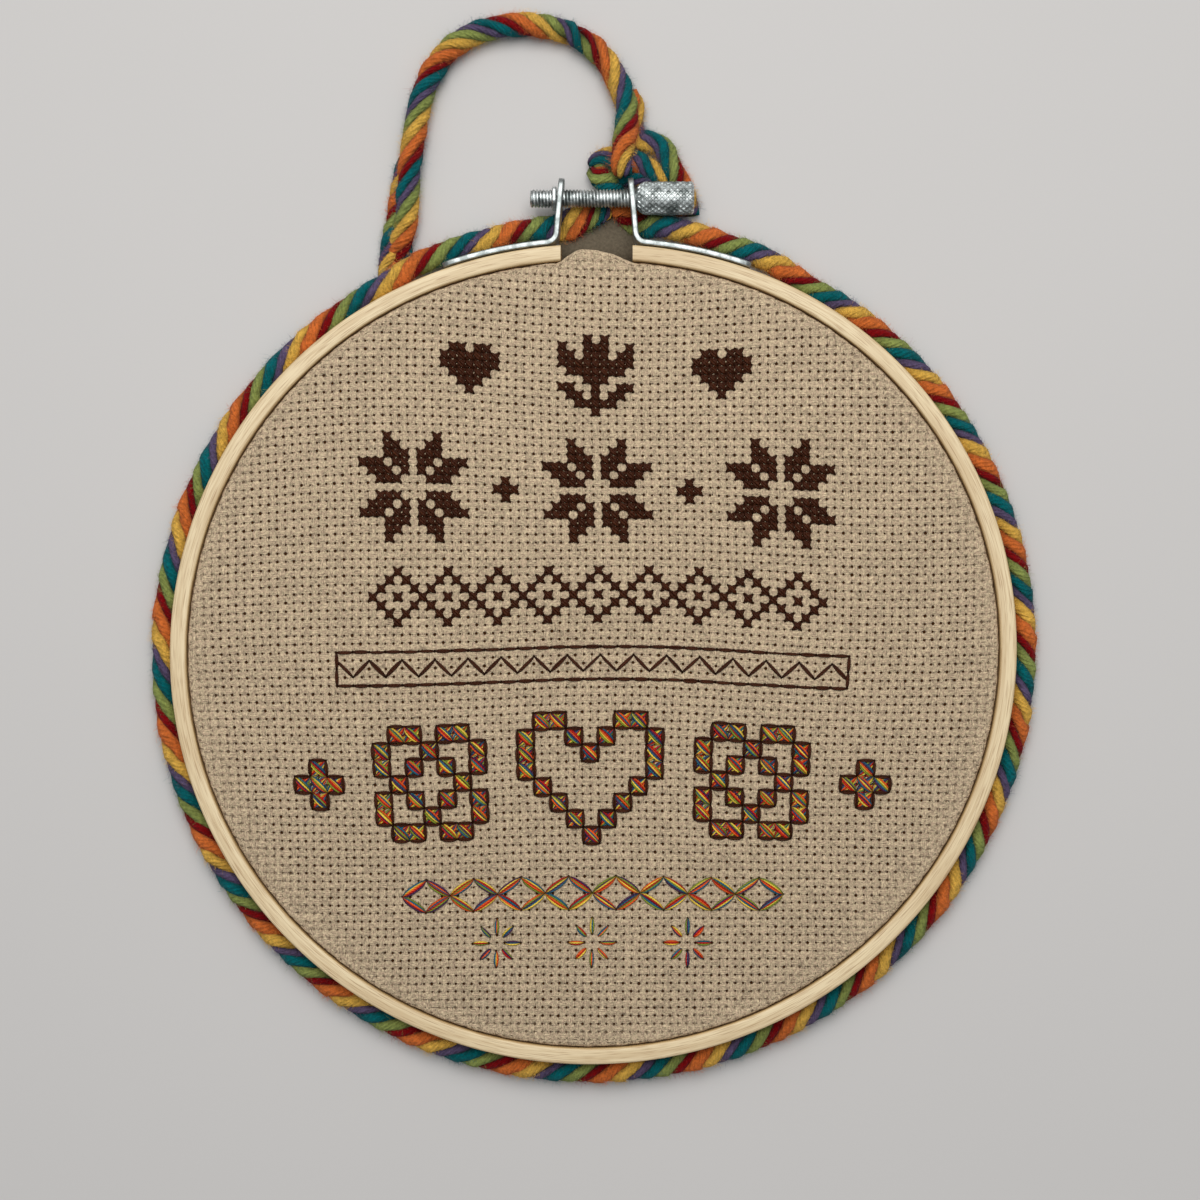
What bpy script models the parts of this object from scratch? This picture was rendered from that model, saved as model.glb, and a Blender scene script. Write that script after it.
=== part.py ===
"""A finished embroidery hoop: stitched cloth in a wooden hoop, with a twisted yarn cord for its rim and hanger.

The hoop lies on its back with its face up. Metres, +Z up, +Y towards the screw and the hanging loop.
Hoop pieces are laid out about the hoop's own centre and hang from one empty, which stands at that centre.
"""

import math

import bmesh
import bpy
import numpy as np
from mathutils import Matrix, Vector

MM = 0.001
GAP = 0.3 * MM

# The hoop. Its outline is a little oval, and flattened near the split, where the screw pulls it.
HOOP_CENTRE_Y = -9.2 * MM
RING_INSIDE = 89.2 * MM
RING_WALL = 3.6 * MM
RING_OUTSIDE = RING_INSIDE + RING_WALL
RING_DEPTH = 10.0 * MM
RING_EDGE = 0.7 * MM
OVAL_RATIO = 0.975
OVAL_TURN = math.radians(9.6)
FLAT_SHARE = 0.0157
FLAT_SPREAD = math.radians(28)
SCREW_SIDE = math.radians(90)
RING_STEPS = 90

# The split of the outer ring.
SPLIT_MIDDLE_X = 1.0 * MM
SPLIT_WIDTH = 15.8 * MM

# The inner ring and the cloth that is stretched over it.
CLOTH_THICKNESS = 1.0 * MM
CLOTH_TOP = RING_DEPTH - GAP
CLOTH_OUTSIDE = RING_INSIDE - GAP
CLOTH_HEM_Z = 0.4 * MM
CLOTH_ROUND = 1.2 * MM
BULGE = 1.8 * MM
BULGE_HALF_ANGLE = math.radians(4.5)
BULGE_TURN = math.radians(89.8)
CLOTH_STEPS = 120
INNER_OUTSIDE = CLOTH_OUTSIDE - CLOTH_THICKNESS - GAP
INNER_WALL = 4.0 * MM
INNER_DEPTH = CLOTH_TOP - CLOTH_THICKNESS - GAP

# The two bent strips that carry the screw.
STRIP_THICKNESS = 1.2 * MM
STRIP_HALF_WIDTH = 3.6 * MM
HARDWARE_Z = 6.2 * MM
STRIP_CORNER = 2.2 * MM
BEND_RADIUS = 2.4 * MM
STRIP_STEPS = 10
BEND_STEPS = 6
CORNER_STEPS = 4
LUG_TOP_Y = 103.8 * MM
LEFT_TIP = math.radians(111.2)
RIGHT_TIP = math.radians(67.6)
LEFT_LUG_FOOT_X = -7.7 * MM
LEFT_LUG_HEAD_X = -6.6 * MM
RIGHT_LUG_FOOT_X = 9.4 * MM
RIGHT_LUG_HEAD_X = 8.3 * MM

# The screw: one turned piece, a threaded shank with a knurled knob.
SCREW_Y = 99.6 * MM
SHANK_RADIUS = 1.85 * MM
SHANK_END_X = -13.7 * MM
KNOB_START_X = 9.7 * MM
KNOB_SHOULDER_X = 11.2 * MM
KNOB_END_X = 22.4 * MM
KNOB_NECK = 2.5 * MM
KNOB_RADIUS = 3.6 * MM
SCREW_CHAMFER = 0.4 * MM
SHANK_HOLE = 2.2 * MM
NUT_X = (-8.85 * MM, -7.9 * MM)
NUT_RADIUS = 2.75 * MM
NUT_SIDES = 6
NUT_TURN = math.radians(15)
HOLE_SIDES = 20
SCREW_SIDES = 32

# The cord: six strands laid up together. The rim's lay is left-handed, the hanger's right-handed.
CORD_HALF = 2.5 * MM
CORD_LAY = 19.8 * MM
STRANDS = 6
STRAND_GROOVE = 0.17
STEPS_A_LAY = 8
FINE_STEPS = 20
LEFT_HANDED = -1
RIGHT_HANDED = 1
RIM_HALF_HEIGHT = 2.75 * MM
RIM_LOW_Z = RIM_HALF_HEIGHT + 0.1 * MM
RIM_CENTRE = RING_OUTSIDE + GAP + CORD_HALF
RIM_STEP = math.radians(6)
RIM_START = math.radians(72)
RIM_END = math.radians(-252)
# Where it runs over the strips it stands further out, and where the hanger's foot passes under it, higher.
OVER_STRIPS = 1.9 * MM
STRIP_RAMP = (math.radians(62), math.radians(66.5), math.radians(112.3), math.radians(117))
HUMP = 2.4 * MM
HUMP_TURN = math.radians(117.5)
HUMP_HALF_ANGLE = math.radians(9)

# Cord routes, in millimetres about the hoop's centre. Columns: x, y, z, half width, half height.
HALF_WIDTH, HALF_HEIGHT = 3, 4
# From the knot's left lobe, down under the shank and the right lug, to the start of the rim.
RIM_FROM_LOBE = (
    (5.6, 108.5, 2.1, 2.45, 1.8),
    (3.6, 107.9, 2.2, 2.5, 1.9),
    (1.9, 106.3, 2.4, 2.55, 2.1),
    (1.2, 103.8, 2.2, 2.6, 2.0),
    (2.0, 101.2, 1.95, 2.6, 1.8),
    (3.9, 98.9, 1.9, 2.6, 1.75),
    (6.3, 97.0, 1.7, 2.7, 1.55),
    (8.4, 95.7, 1.2, 2.9, 1.05),
    (10.6, 94.7, 1.2, 2.9, 1.05),
    (12.7, 94.1, 1.9, 2.7, 1.8),
    (15.4, 93.9, 2.6, 2.5, 2.45),
    (19.0, 93.3, 2.85, 2.5, 2.75),
)
# From the end of the rim, under the left lug, to the cord's end below the shank.
RIM_TO_END = (
    (-20.4, 91.9, 2.85, 2.5, 2.75),
    (-15.9, 93.0, 2.8, 2.5, 2.65),
    (-12.4, 93.6, 2.3, 2.55, 2.2),
    (-10.0, 93.9, 1.5, 2.8, 1.4),
    (-8.3, 94.0, 1.2, 2.9, 1.05),
    (-6.4, 94.2, 1.2, 2.9, 1.05),
    (-4.2, 94.8, 1.8, 2.6, 1.65),
    (-1.9, 96.1, 1.9, 2.3, 1.75),
)
# The hanger: from its foot under the rim, round, and down over the knot.
HANGER = (
    (-43.5, 82.9, 1.05, 2.9, 0.95),
    (-43.3, 87.2, 1.1, 2.9, 0.95),
    (-42.4, 91.2, 2.3, 2.6, 2.2),
    (-41.6, 94.9, 2.85, 2.6, 2.75),
    (-41.2, 99.5, 2.85, 2.6, 2.75),
    (-40.9, 104.4, 2.85, 2.6, 2.75),
    (-40.3, 109.5, 2.85, 2.6, 2.75),
    (-39.7, 114.4, 2.85, 2.6, 2.75),
    (-38.9, 119.3, 2.85, 2.6, 2.75),
    (-37.4, 124.4, 2.85, 2.6, 2.75),
    (-35.0, 129.3, 2.85, 2.6, 2.75),
    (-31.6, 133.6, 2.85, 2.6, 2.75),
    (-27.2, 136.6, 2.85, 2.6, 2.75),
    (-21.7, 138.3, 2.85, 2.6, 2.75),
    (-14.8, 138.9, 2.85, 2.6, 2.75),
    (-9.7, 138.4, 2.85, 2.6, 2.75),
    (-5.7, 137.2, 2.85, 2.6, 2.75),
    (-1.9, 135.2, 2.85, 2.6, 2.75),
    (1.5, 132.4, 2.85, 2.6, 2.75),
    (4.2, 128.9, 2.9, 2.6, 2.75),
    (6.2, 124.8, 3.1, 2.6, 2.7),
    (7.5, 120.7, 3.6, 2.6, 2.6),
    (7.7, 116.7, 4.5, 2.6, 2.5),
    (7.1, 113.0, 5.7, 2.55, 2.45),
    (6.7, 109.8, 6.7, 2.5, 2.4),
    (7.0, 106.9, 6.9, 2.4, 2.3),
)
# The knot's right lobe: a bight that comes up behind the hanger and goes down under the knob's end.
KNOT_LOBE = (
    (10.4, 109.9, 2.2, 2.4, 2.0),
    (12.7, 111.5, 2.5, 2.5, 2.4),
    (15.3, 111.0, 2.6, 2.5, 2.5),
    (17.2, 109.0, 2.6, 2.5, 2.5),
    (18.2, 106.4, 2.4, 2.5, 2.3),
    (19.4, 103.8, 1.8, 2.5, 1.65),
    (20.5, 101.4, 1.2, 2.6, 1.05),
    (21.2, 98.9, 1.1, 2.6, 0.95),
    (21.3, 96.6, 1.3, 2.5, 1.1),
)

PARTS = "hoop_embroidery"
CUTTERS = "cutters"


def clear_scene():
    """Remove what a new scene starts with."""
    for item in list(bpy.data.objects):
        bpy.data.objects.remove(item, do_unlink=True)


def collection(name):
    """A collection under the scene, made when it is first asked for."""
    found = bpy.data.collections.get(name)
    if found is None:
        found = bpy.data.collections.new(name)
        bpy.context.scene.collection.children.link(found)
    return found


def material(name, colour, roughness, metallic=0.0):
    """A plain Principled finish."""
    made = bpy.data.materials.new(name)
    made.use_nodes = True
    shader = made.node_tree.nodes["Principled BSDF"]
    shader.inputs["Base Color"].default_value = (*colour, 1.0)
    shader.inputs["Roughness"].default_value = roughness
    shader.inputs["Metallic"].default_value = metallic
    return made


def add_part(name, mesh, finish, centre, smooth_angle=40):
    """Place a finished mesh as one sub-part of the hoop."""
    part = bpy.data.objects.new(name, mesh)
    collection(PARTS).objects.link(part)
    part.parent = centre
    mesh.materials.append(finish)
    mesh.shade_smooth()
    mesh.set_sharp_from_angle(angle=math.radians(smooth_angle))
    return part


def add_cutter(name, mesh, centre):
    """Place a mesh that only cuts others."""
    cutter = bpy.data.objects.new(name, mesh)
    collection(CUTTERS).objects.link(cutter)
    cutter.parent = centre
    cutter.display_type = "WIRE"
    cutter.hide_render = True
    return cutter


def cut(part, cutter, operation="DIFFERENCE"):
    """Cut a part with a cutter, or keep only what lies inside it."""
    boolean = part.modifiers.new(cutter.name, "BOOLEAN")
    boolean.operation = operation
    boolean.object = cutter


def turned(profile, steps):
    """A mesh turned about Z from a closed or axis-to-axis profile of (radius, height) points."""
    outline = bpy.data.meshes.new("profile")
    form = bmesh.new()
    corners = [form.verts.new((radius, 0.0, height)) for radius, height in profile]
    for first, second in zip(corners, corners[1:]):
        form.edges.new((first, second))
    if profile[0][0] > 0:
        form.edges.new((corners[-1], corners[0]))
    form.to_mesh(outline)
    form.free()
    guide = bpy.data.objects.new("profile", outline)
    bpy.context.scene.collection.objects.link(guide)
    screw = guide.modifiers.new("Turn", "SCREW")
    screw.steps = steps
    screw.render_steps = steps
    screw.use_merge_vertices = True
    screw.merge_threshold = 0.00001
    mesh = bpy.data.meshes.new_from_object(guide.evaluated_get(bpy.context.evaluated_depsgraph_get()))
    bpy.data.objects.remove(guide)
    bpy.data.meshes.remove(outline)
    return mesh


def outline_factor(angle):
    """How far in the oval and the flattened top bring the outline at an angle, as a share of the radius."""
    across = angle - OVAL_TURN
    oval = OVAL_RATIO / math.hypot(OVAL_RATIO * math.cos(across), math.sin(across))
    from_screw = (angle - SCREW_SIDE + math.pi) % math.tau - math.pi
    return oval - FLAT_SHARE * math.exp(-((from_screw / FLAT_SPREAD) ** 2))


def on_outline(radius, angle, outward=0.0):
    """The point at an angle on the hoop's own outline of a nominal radius."""
    far = radius * outline_factor(angle) + outward
    return far * math.cos(angle), far * math.sin(angle)


def fit_to_outline(mesh):
    """Bring a truly round mesh to the hoop's outline."""
    for vertex in mesh.vertices:
        factor = outline_factor(math.atan2(vertex.co.y, vertex.co.x))
        vertex.co.x *= factor
        vertex.co.y *= factor


def ring_profile(inside, outside, low, high, edge):
    """A rectangle with its four edges cut back, running down the outer side first."""
    return (
        (outside, high - edge),
        (outside, low + edge),
        (outside - edge, low),
        (inside + edge, low),
        (inside, low + edge),
        (inside, high - edge),
        (inside + edge, high),
        (outside - edge, high),
    )


def box_mesh(name, low, high):
    """A box between two corners."""
    form = bmesh.new()
    bmesh.ops.create_cube(form, size=1.0)
    low, high = Vector(low), Vector(high)
    middle = Matrix.Translation((low + high) / 2)
    bmesh.ops.transform(form, matrix=middle @ Matrix.Diagonal((*(high - low), 1.0)), verts=form.verts)
    mesh = bpy.data.meshes.new(name)
    form.to_mesh(mesh)
    form.free()
    return mesh


def bar_mesh(name, radius, start_x, end_x, sides, turn=0.0):
    """A bar along X on the screw's axis."""
    form = bmesh.new()
    bmesh.ops.create_cone(
        form, cap_ends=True, segments=sides, radius1=radius, radius2=radius, depth=end_x - start_x
    )
    place = Matrix.Translation(((start_x + end_x) / 2, SCREW_Y, HARDWARE_Z))
    lay_down = Matrix.Rotation(math.radians(90), 4, "Y") @ Matrix.Rotation(turn, 4, "Z")
    bmesh.ops.transform(form, matrix=place @ lay_down, verts=form.verts)
    mesh = bpy.data.meshes.new(name)
    form.to_mesh(mesh)
    form.free()
    return mesh


def flat_outline_mesh(points, half_thickness, name):
    """A flat outline in XY, thickened both ways along Z, as a welded mesh."""
    curve = bpy.data.curves.new(name, "CURVE")
    curve.dimensions = "2D"
    curve.fill_mode = "BOTH"
    curve.extrude = half_thickness
    spline = curve.splines.new("POLY")
    spline.points.add(len(points) - 1)
    for place, (x, y) in zip(spline.points, points):
        place.co = (x, y, 0.0, 1.0)
    spline.use_cyclic_u = True
    guide = bpy.data.objects.new(name, curve)
    bpy.context.scene.collection.objects.link(guide)
    mesh = bpy.data.meshes.new_from_object(guide.evaluated_get(bpy.context.evaluated_depsgraph_get()))
    bpy.data.objects.remove(guide)
    bpy.data.curves.remove(curve)
    form = bmesh.new()
    form.from_mesh(mesh)
    bmesh.ops.remove_doubles(form, verts=form.verts, dist=0.00001)
    bmesh.ops.recalc_face_normals(form, faces=form.faces)
    form.to_mesh(mesh)
    form.free()
    return mesh


def outer_ring(centre, wood):
    """The split wooden outer ring."""
    profile = ring_profile(RING_INSIDE, RING_OUTSIDE, 0.0, RING_DEPTH, RING_EDGE)
    mesh = turned(profile, RING_STEPS)
    fit_to_outline(mesh)
    ring = add_part("outer_ring", mesh, wood, centre)
    half = SPLIT_WIDTH / 2
    low = (SPLIT_MIDDLE_X - half, RING_INSIDE / 2, -RING_DEPTH)
    high = (SPLIT_MIDDLE_X + half, RING_OUTSIDE * 1.2, RING_DEPTH * 2)
    cut(ring, add_cutter("split", box_mesh("split", low, high), centre))


def inner_ring(centre, wood):
    """The plain wooden ring under the cloth."""
    profile = ring_profile(INNER_OUTSIDE - INNER_WALL, INNER_OUTSIDE, 0.0, INNER_DEPTH, RING_EDGE)
    mesh = turned(profile, RING_STEPS)
    fit_to_outline(mesh)
    add_part("inner_ring", mesh, wood, centre)


def bulge_at(angle):
    """How far the cloth puffs out through the split at an angle."""
    away = (angle - BULGE_TURN + math.pi) % math.tau - math.pi
    if abs(away) >= BULGE_HALF_ANGLE:
        return 0.0
    return BULGE * math.cos(away / BULGE_HALF_ANGLE * math.pi / 2) ** 2


def cloth(centre, linen):
    """The cloth: one sheet over the inner ring's face and down its side, between the two rings."""
    top = CLOTH_TOP
    under = CLOTH_TOP - CLOTH_THICKNESS
    inside = CLOTH_OUTSIDE - CLOTH_THICKNESS
    profile = (
        (0.0, top),
        (CLOTH_OUTSIDE * 0.5, top),
        (CLOTH_OUTSIDE - 1.6 * CLOTH_ROUND, top),
        (CLOTH_OUTSIDE - 0.5 * CLOTH_ROUND, top - 0.25 * CLOTH_ROUND),
        (CLOTH_OUTSIDE, top - CLOTH_ROUND),
        (CLOTH_OUTSIDE, CLOTH_HEM_Z),
        (inside, CLOTH_HEM_Z),
        (inside, under - 0.3 * CLOTH_ROUND),
        (inside - 0.3 * CLOTH_ROUND, under),
        (0.0, under),
    )
    mesh = turned(profile, CLOTH_STEPS)
    for vertex in mesh.vertices:
        radius = math.hypot(vertex.co.x, vertex.co.y)
        if radius > inside - CLOTH_ROUND:
            angle = math.atan2(vertex.co.y, vertex.co.x)
            factor = 1 + bulge_at(angle) / radius
            vertex.co.x *= factor
            vertex.co.y *= factor
    fit_to_outline(mesh)
    add_part("cloth", mesh, linen, centre)


def strip_line(tip, foot_x, head_x):
    """The middle line of a strip: along the ring from its tip, round the bend, and up the lug."""
    side = 1 if foot_x > 0 else -1
    middle = GAP + STRIP_THICKNESS / 2
    ring_top = RING_OUTSIDE * outline_factor(SCREW_SIDE)
    bend_start = SCREW_SIDE - math.asin((foot_x + side * BEND_RADIUS) / ring_top)
    line = []
    for step in range(STRIP_STEPS + 1):
        angle = tip + (bend_start - tip) * step / STRIP_STEPS
        line.append(Vector(on_outline(RING_OUTSIDE, angle, middle)))
    bend_middle = line[-1] + Vector((0.0, BEND_RADIUS))
    for step in range(1, BEND_STEPS + 1):
        turn = math.radians(90) * step / BEND_STEPS
        line.append(bend_middle + BEND_RADIUS * Vector((-side * math.sin(turn), -math.cos(turn))))
    lug_way = Vector((head_x - foot_x, LUG_TOP_Y - line[-1].y)).normalized()
    line.append(line[-1] + lug_way * ((LUG_TOP_Y - line[-1].y) / lug_way.y))
    return line


def thickened(line, half_thickness):
    """The closed outline of a line given a thickness."""
    left, right = [], []
    for index, spot in enumerate(line):
        before = line[max(index - 1, 0)]
        after = line[min(index + 1, len(line) - 1)]
        along = (after - before).normalized()
        across = Vector((-along.y, along.x)) * half_thickness
        left.append(spot + across)
        right.append(spot - across)
    return [tuple(spot) for spot in left + right[::-1]]


def lug_shape(centre):
    """The strip's width and the rounded head of a lug, as a cutter that keeps what lies in it."""
    half = STRIP_HALF_WIDTH
    corner = STRIP_CORNER
    points = [(-half, 0.0), (half, 0.0)]
    for side, first in ((1, 0), (-1, 90)):
        for step in range(CORNER_STEPS + 1):
            turn = math.radians(first + 90 * step / CORNER_STEPS)
            x = side * (half - corner) + corner * math.cos(turn)
            points.append((x, LUG_TOP_Y - corner + corner * math.sin(turn)))
    mesh = flat_outline_mesh(points, RING_INSIDE / 2, "lug_shape")
    stand = Matrix.Rotation(math.radians(90), 4, "Y")
    mesh.transform(Matrix.Translation((0.0, 0.0, HARDWARE_Z)) @ stand)
    return add_cutter("lug_shape", mesh, centre)


def brackets(centre, zinc):
    """The two bent strips, with rounded lugs and a hole for the shank."""
    hole_mesh = bar_mesh("shank_hole", SHANK_HOLE, 2 * SHANK_END_X, 2 * KNOB_START_X, HOLE_SIDES)
    hole = add_cutter("shank_hole", hole_mesh, centre)
    shape = lug_shape(centre)
    sides = (
        ("bracket_left", LEFT_TIP, LEFT_LUG_FOOT_X, LEFT_LUG_HEAD_X),
        ("bracket_right", RIGHT_TIP, RIGHT_LUG_FOOT_X, RIGHT_LUG_HEAD_X),
    )
    for name, tip, foot_x, head_x in sides:
        outline = thickened(strip_line(tip, foot_x, head_x), STRIP_THICKNESS / 2)
        mesh = flat_outline_mesh(outline, STRIP_HALF_WIDTH * 1.2, name)
        mesh.transform(Matrix.Translation((0.0, 0.0, HARDWARE_Z)))
        strip = add_part(name, mesh, zinc, centre, smooth_angle=30)
        cut(strip, shape, "INTERSECT")
        cut(strip, hole)


def thumbscrew(centre, zinc):
    """The screw with its knob, turned about its own axis, which is the object's origin."""
    profile = (
        (0.0, SHANK_END_X),
        (SHANK_RADIUS - SCREW_CHAMFER, SHANK_END_X),
        (SHANK_RADIUS, SHANK_END_X + SCREW_CHAMFER),
        (SHANK_RADIUS, KNOB_START_X),
        (KNOB_NECK, KNOB_START_X),
        (KNOB_RADIUS, KNOB_SHOULDER_X),
        (KNOB_RADIUS, KNOB_END_X - SCREW_CHAMFER),
        (KNOB_RADIUS - SCREW_CHAMFER, KNOB_END_X),
        (0.0, KNOB_END_X),
    )
    mesh = turned(profile[::-1], SCREW_SIDES)
    screw = add_part("thumbscrew", mesh, zinc, centre, smooth_angle=30)
    screw.location = (0.0, SCREW_Y, HARDWARE_Z)
    screw.rotation_euler = (0.0, math.radians(90), 0.0)


def nut(centre, zinc):
    """The small nut on the left lug's outer side."""
    mesh = bar_mesh("nut", NUT_RADIUS, *NUT_X, NUT_SIDES, turn=NUT_TURN)
    piece = add_part("nut", mesh, zinc, centre, smooth_angle=30)
    hole = bar_mesh("nut_hole", SHANK_HOLE, 2 * SHANK_END_X, 0.0, HOLE_SIDES)
    cut(piece, add_cutter("nut_hole", hole, centre))


def smooth_route(rows, steps):
    """Points at even steps along a smooth curve through the rows; widths follow along."""
    rows = np.array(rows)
    knots = np.concatenate([[0.0], np.cumsum(np.linalg.norm(np.diff(rows[:, :3], axis=0), axis=1))])
    gaps = np.diff(knots)[:, None]
    slopes = np.diff(rows, axis=0) / gaps
    tangents = np.empty_like(rows)
    tangents[1:-1] = (slopes[:-1] * gaps[1:] + slopes[1:] * gaps[:-1]) / (gaps[:-1] + gaps[1:])
    tangents[0], tangents[-1] = slopes[0], slopes[-1]

    def at(places):
        index = np.clip(np.searchsorted(knots, places) - 1, 0, len(gaps) - 1)
        gap = gaps[index]
        share = (places[:, None] - knots[index][:, None]) / gap
        square, cube = share**2, share**3
        return (
            rows[index] * (2 * cube - 3 * square + 1)
            + tangents[index] * gap * (cube - 2 * square + share)
            + rows[index + 1] * (3 * square - 2 * cube)
            + tangents[index + 1] * gap * (cube - square)
        )

    fine = np.linspace(0.0, knots[-1], FINE_STEPS * len(rows))
    points = at(fine)
    far = np.concatenate([[0.0], np.cumsum(np.linalg.norm(np.diff(points[:, :3], axis=0), axis=1))])
    count = math.ceil(far[-1] / steps)
    return at(np.interp(np.linspace(0.0, far[-1], count + 1), far, fine)), far[-1] / count


def laid_cord(name, rows, hand, finish, centre):
    """A twisted cord as one solid: a section with a ridge for each strand, turned along its route."""
    route, step = smooth_route(rows, CORD_LAY / STEPS_A_LAY)
    along = np.gradient(route[:, :3], axis=0)
    along /= np.linalg.norm(along, axis=1)[:, None]
    side = np.cross((0.0, 0.0, 1.0), along)
    side /= np.linalg.norm(side, axis=1)[:, None]
    up = np.cross(along, side)
    corners = 2 * STRANDS
    ridge = np.where(np.arange(corners) % 2 == 0, 1.0, 1.0 - STRAND_GROOVE)
    form = bmesh.new()
    rings = []
    for index, row in enumerate(route):
        turn = hand * math.tau * index * step / CORD_LAY + math.tau * np.arange(corners) / corners
        spots = (
            row[:3]
            + side[index] * (row[HALF_WIDTH] * ridge * np.cos(turn))[:, None]
            + up[index] * (row[HALF_HEIGHT] * ridge * np.sin(turn))[:, None]
        )
        rings.append([form.verts.new(spot) for spot in spots])
    for near, far in zip(rings, rings[1:]):
        for corner in range(corners):
            other = (corner + 1) % corners
            form.faces.new((near[corner], near[other], far[other], far[corner]))
    form.faces.new(rings[0][::-1])
    form.faces.new(rings[-1])
    bmesh.ops.recalc_face_normals(form, faces=form.faces)
    mesh = bpy.data.meshes.new(name)
    form.to_mesh(mesh)
    form.free()
    add_part(name, mesh, finish, centre, smooth_angle=60)


def in_metres(rows):
    """A route's table in metres."""
    return [tuple(value * MM for value in row) for row in rows]


def strip_share(angle):
    """1 where the rim cord runs over the strips, 0 away from them, and a ramp between."""
    right_out, right_in, left_in, left_out = STRIP_RAMP
    place = angle % math.tau
    return float(np.interp(place, (right_out, right_in, left_in, left_out), (0.0, 1.0, 1.0, 0.0)))


def rim_rows():
    """The rim cord's route: from the knot's lobe, clockwise round the ring, to its end below the shank."""
    rows = in_metres(RIM_FROM_LOBE)
    count = round((RIM_START - RIM_END) / RIM_STEP)
    for index in range(count + 1):
        angle = RIM_START + (RIM_END - RIM_START) * index / count
        x, y = on_outline(RIM_CENTRE, angle, OVER_STRIPS * strip_share(angle))
        away = (angle - HUMP_TURN + math.pi) % math.tau - math.pi
        lift = 0.0
        if abs(away) < HUMP_HALF_ANGLE:
            lift = HUMP * math.cos(away / HUMP_HALF_ANGLE * math.pi / 2) ** 2
        rows.append((x, y, RIM_LOW_Z + lift, CORD_HALF, RIM_HALF_HEIGHT))
    return rows + in_metres(RIM_TO_END)


def main():
    clear_scene()
    centre = bpy.data.objects.new("hoop_centre", None)
    collection(PARTS).objects.link(centre)
    centre.location = (0.0, HOOP_CENTRE_Y, 0.0)

    wood = material("wood", (0.76, 0.60, 0.38), 0.55)
    linen = material("cloth", (0.50, 0.42, 0.31), 0.9)
    zinc = material("zinc", (0.72, 0.73, 0.74), 0.3, 1.0)
    yarn = material("yarn", (0.60, 0.28, 0.12), 0.95)

    outer_ring(centre, wood)
    inner_ring(centre, wood)
    cloth(centre, linen)
    brackets(centre, zinc)
    thumbscrew(centre, zinc)
    nut(centre, zinc)
    laid_cord("rim_cord", rim_rows(), LEFT_HANDED, yarn, centre)
    laid_cord("hanger_cord", in_metres(HANGER), RIGHT_HANDED, yarn, centre)
    laid_cord("knot_lobe", in_metres(KNOT_LOBE), RIGHT_HANDED, yarn, centre)


main()
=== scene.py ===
"""The dressed model of a finished embroidery hoop: cloth, stitches, wooden rings, clamp screw and yarn cords.

Everything is in metres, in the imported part's own frame: +Z out of the face, +Y towards the screw.
"""

from __future__ import annotations

import logging
import math
from collections.abc import Iterable, Mapping, Sequence
from dataclasses import dataclass, field
from enum import Enum

import bmesh
import bpy
import numpy as np
from mathutils import Matrix, Vector

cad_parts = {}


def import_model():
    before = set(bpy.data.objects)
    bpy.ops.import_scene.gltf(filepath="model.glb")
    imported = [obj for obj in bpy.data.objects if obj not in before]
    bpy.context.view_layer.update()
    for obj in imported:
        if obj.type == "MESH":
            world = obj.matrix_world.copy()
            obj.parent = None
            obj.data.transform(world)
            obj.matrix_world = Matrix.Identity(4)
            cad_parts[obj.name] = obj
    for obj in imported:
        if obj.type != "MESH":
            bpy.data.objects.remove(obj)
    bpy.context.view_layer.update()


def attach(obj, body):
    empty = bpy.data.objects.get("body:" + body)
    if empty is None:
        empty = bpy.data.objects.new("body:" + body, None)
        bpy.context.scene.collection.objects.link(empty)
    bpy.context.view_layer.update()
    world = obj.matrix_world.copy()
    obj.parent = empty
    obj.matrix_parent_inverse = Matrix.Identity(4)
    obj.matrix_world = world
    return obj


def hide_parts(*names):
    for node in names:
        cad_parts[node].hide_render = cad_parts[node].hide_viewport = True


MM = 0.001
HOOP = "hoop"
SCREW = "screw"
HOOP_CENTRE = np.array((0.0, -9.2 * MM, 0.0))
SCREW_SIDE = math.radians(90)
GAP = 0.3 * MM
WELD = 0.002 * MM
TINY = 1e-12
LAY = "lay"
TINT = "tint"
SHEEN_ROUGHNESS = 0.5
LOG = logging.getLogger("embroidery_hoop")

Array = np.ndarray
Material = bpy.types.Material
Object = bpy.types.Object
Colour = tuple[float, float, float]
Spot = tuple[float, float]
Rows = Sequence[Sequence[float]]


def srgb(red: float, green: float, blue: float) -> Colour:
    """The linear colour of an sRGB colour.

    Args:
        red, green, blue: levels from 0 to 255.

    Returns:
        The three linear levels, from 0 to 1.
    """
    levels = (value / 255 for value in (red, green, blue))
    return tuple(level / 12.92 if level <= 0.04045 else ((level + 0.055) / 1.055) ** 2.4 for level in levels)


def angle_from(angle: Array | float, middle: float) -> Array | float:
    """How far an angle is from another, from half a turn back to half a turn on."""
    return (angle - middle + math.pi) % math.tau - math.pi


def stacked(*parts: Array | float) -> Array:
    """Values side by side on a new last axis, after they are stretched to one shape."""
    return np.stack(np.broadcast_arrays(*parts), axis=-1)


def unit(vectors: Array) -> Array:
    """The vectors on the last axis at length 1."""
    return vectors / np.maximum(np.linalg.norm(vectors, axis=-1, keepdims=True), TINY)


def along_lines(points: Array) -> Array:
    """The unit directions along lines of points on the last axis but one."""
    return unit(np.gradient(points, axis=-2))


def distances(line: Array) -> Array:
    """How far along a line each of its points lies."""
    return np.concatenate([[0.0], np.cumsum(np.linalg.norm(np.diff(line, axis=0), axis=1))])


def linked(name: str, data: bpy.types.ID) -> Object:
    """A new object in the scene that shows the data.

    Args:
        name: its name.
        data: what it shows.

    Returns:
        The object.
    """
    made = bpy.data.objects.new(name, data)
    bpy.context.scene.collection.objects.link(made)
    return made


class Hand(Enum):
    """Which way a cord is laid."""

    LEFT = -1
    RIGHT = 1


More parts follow.
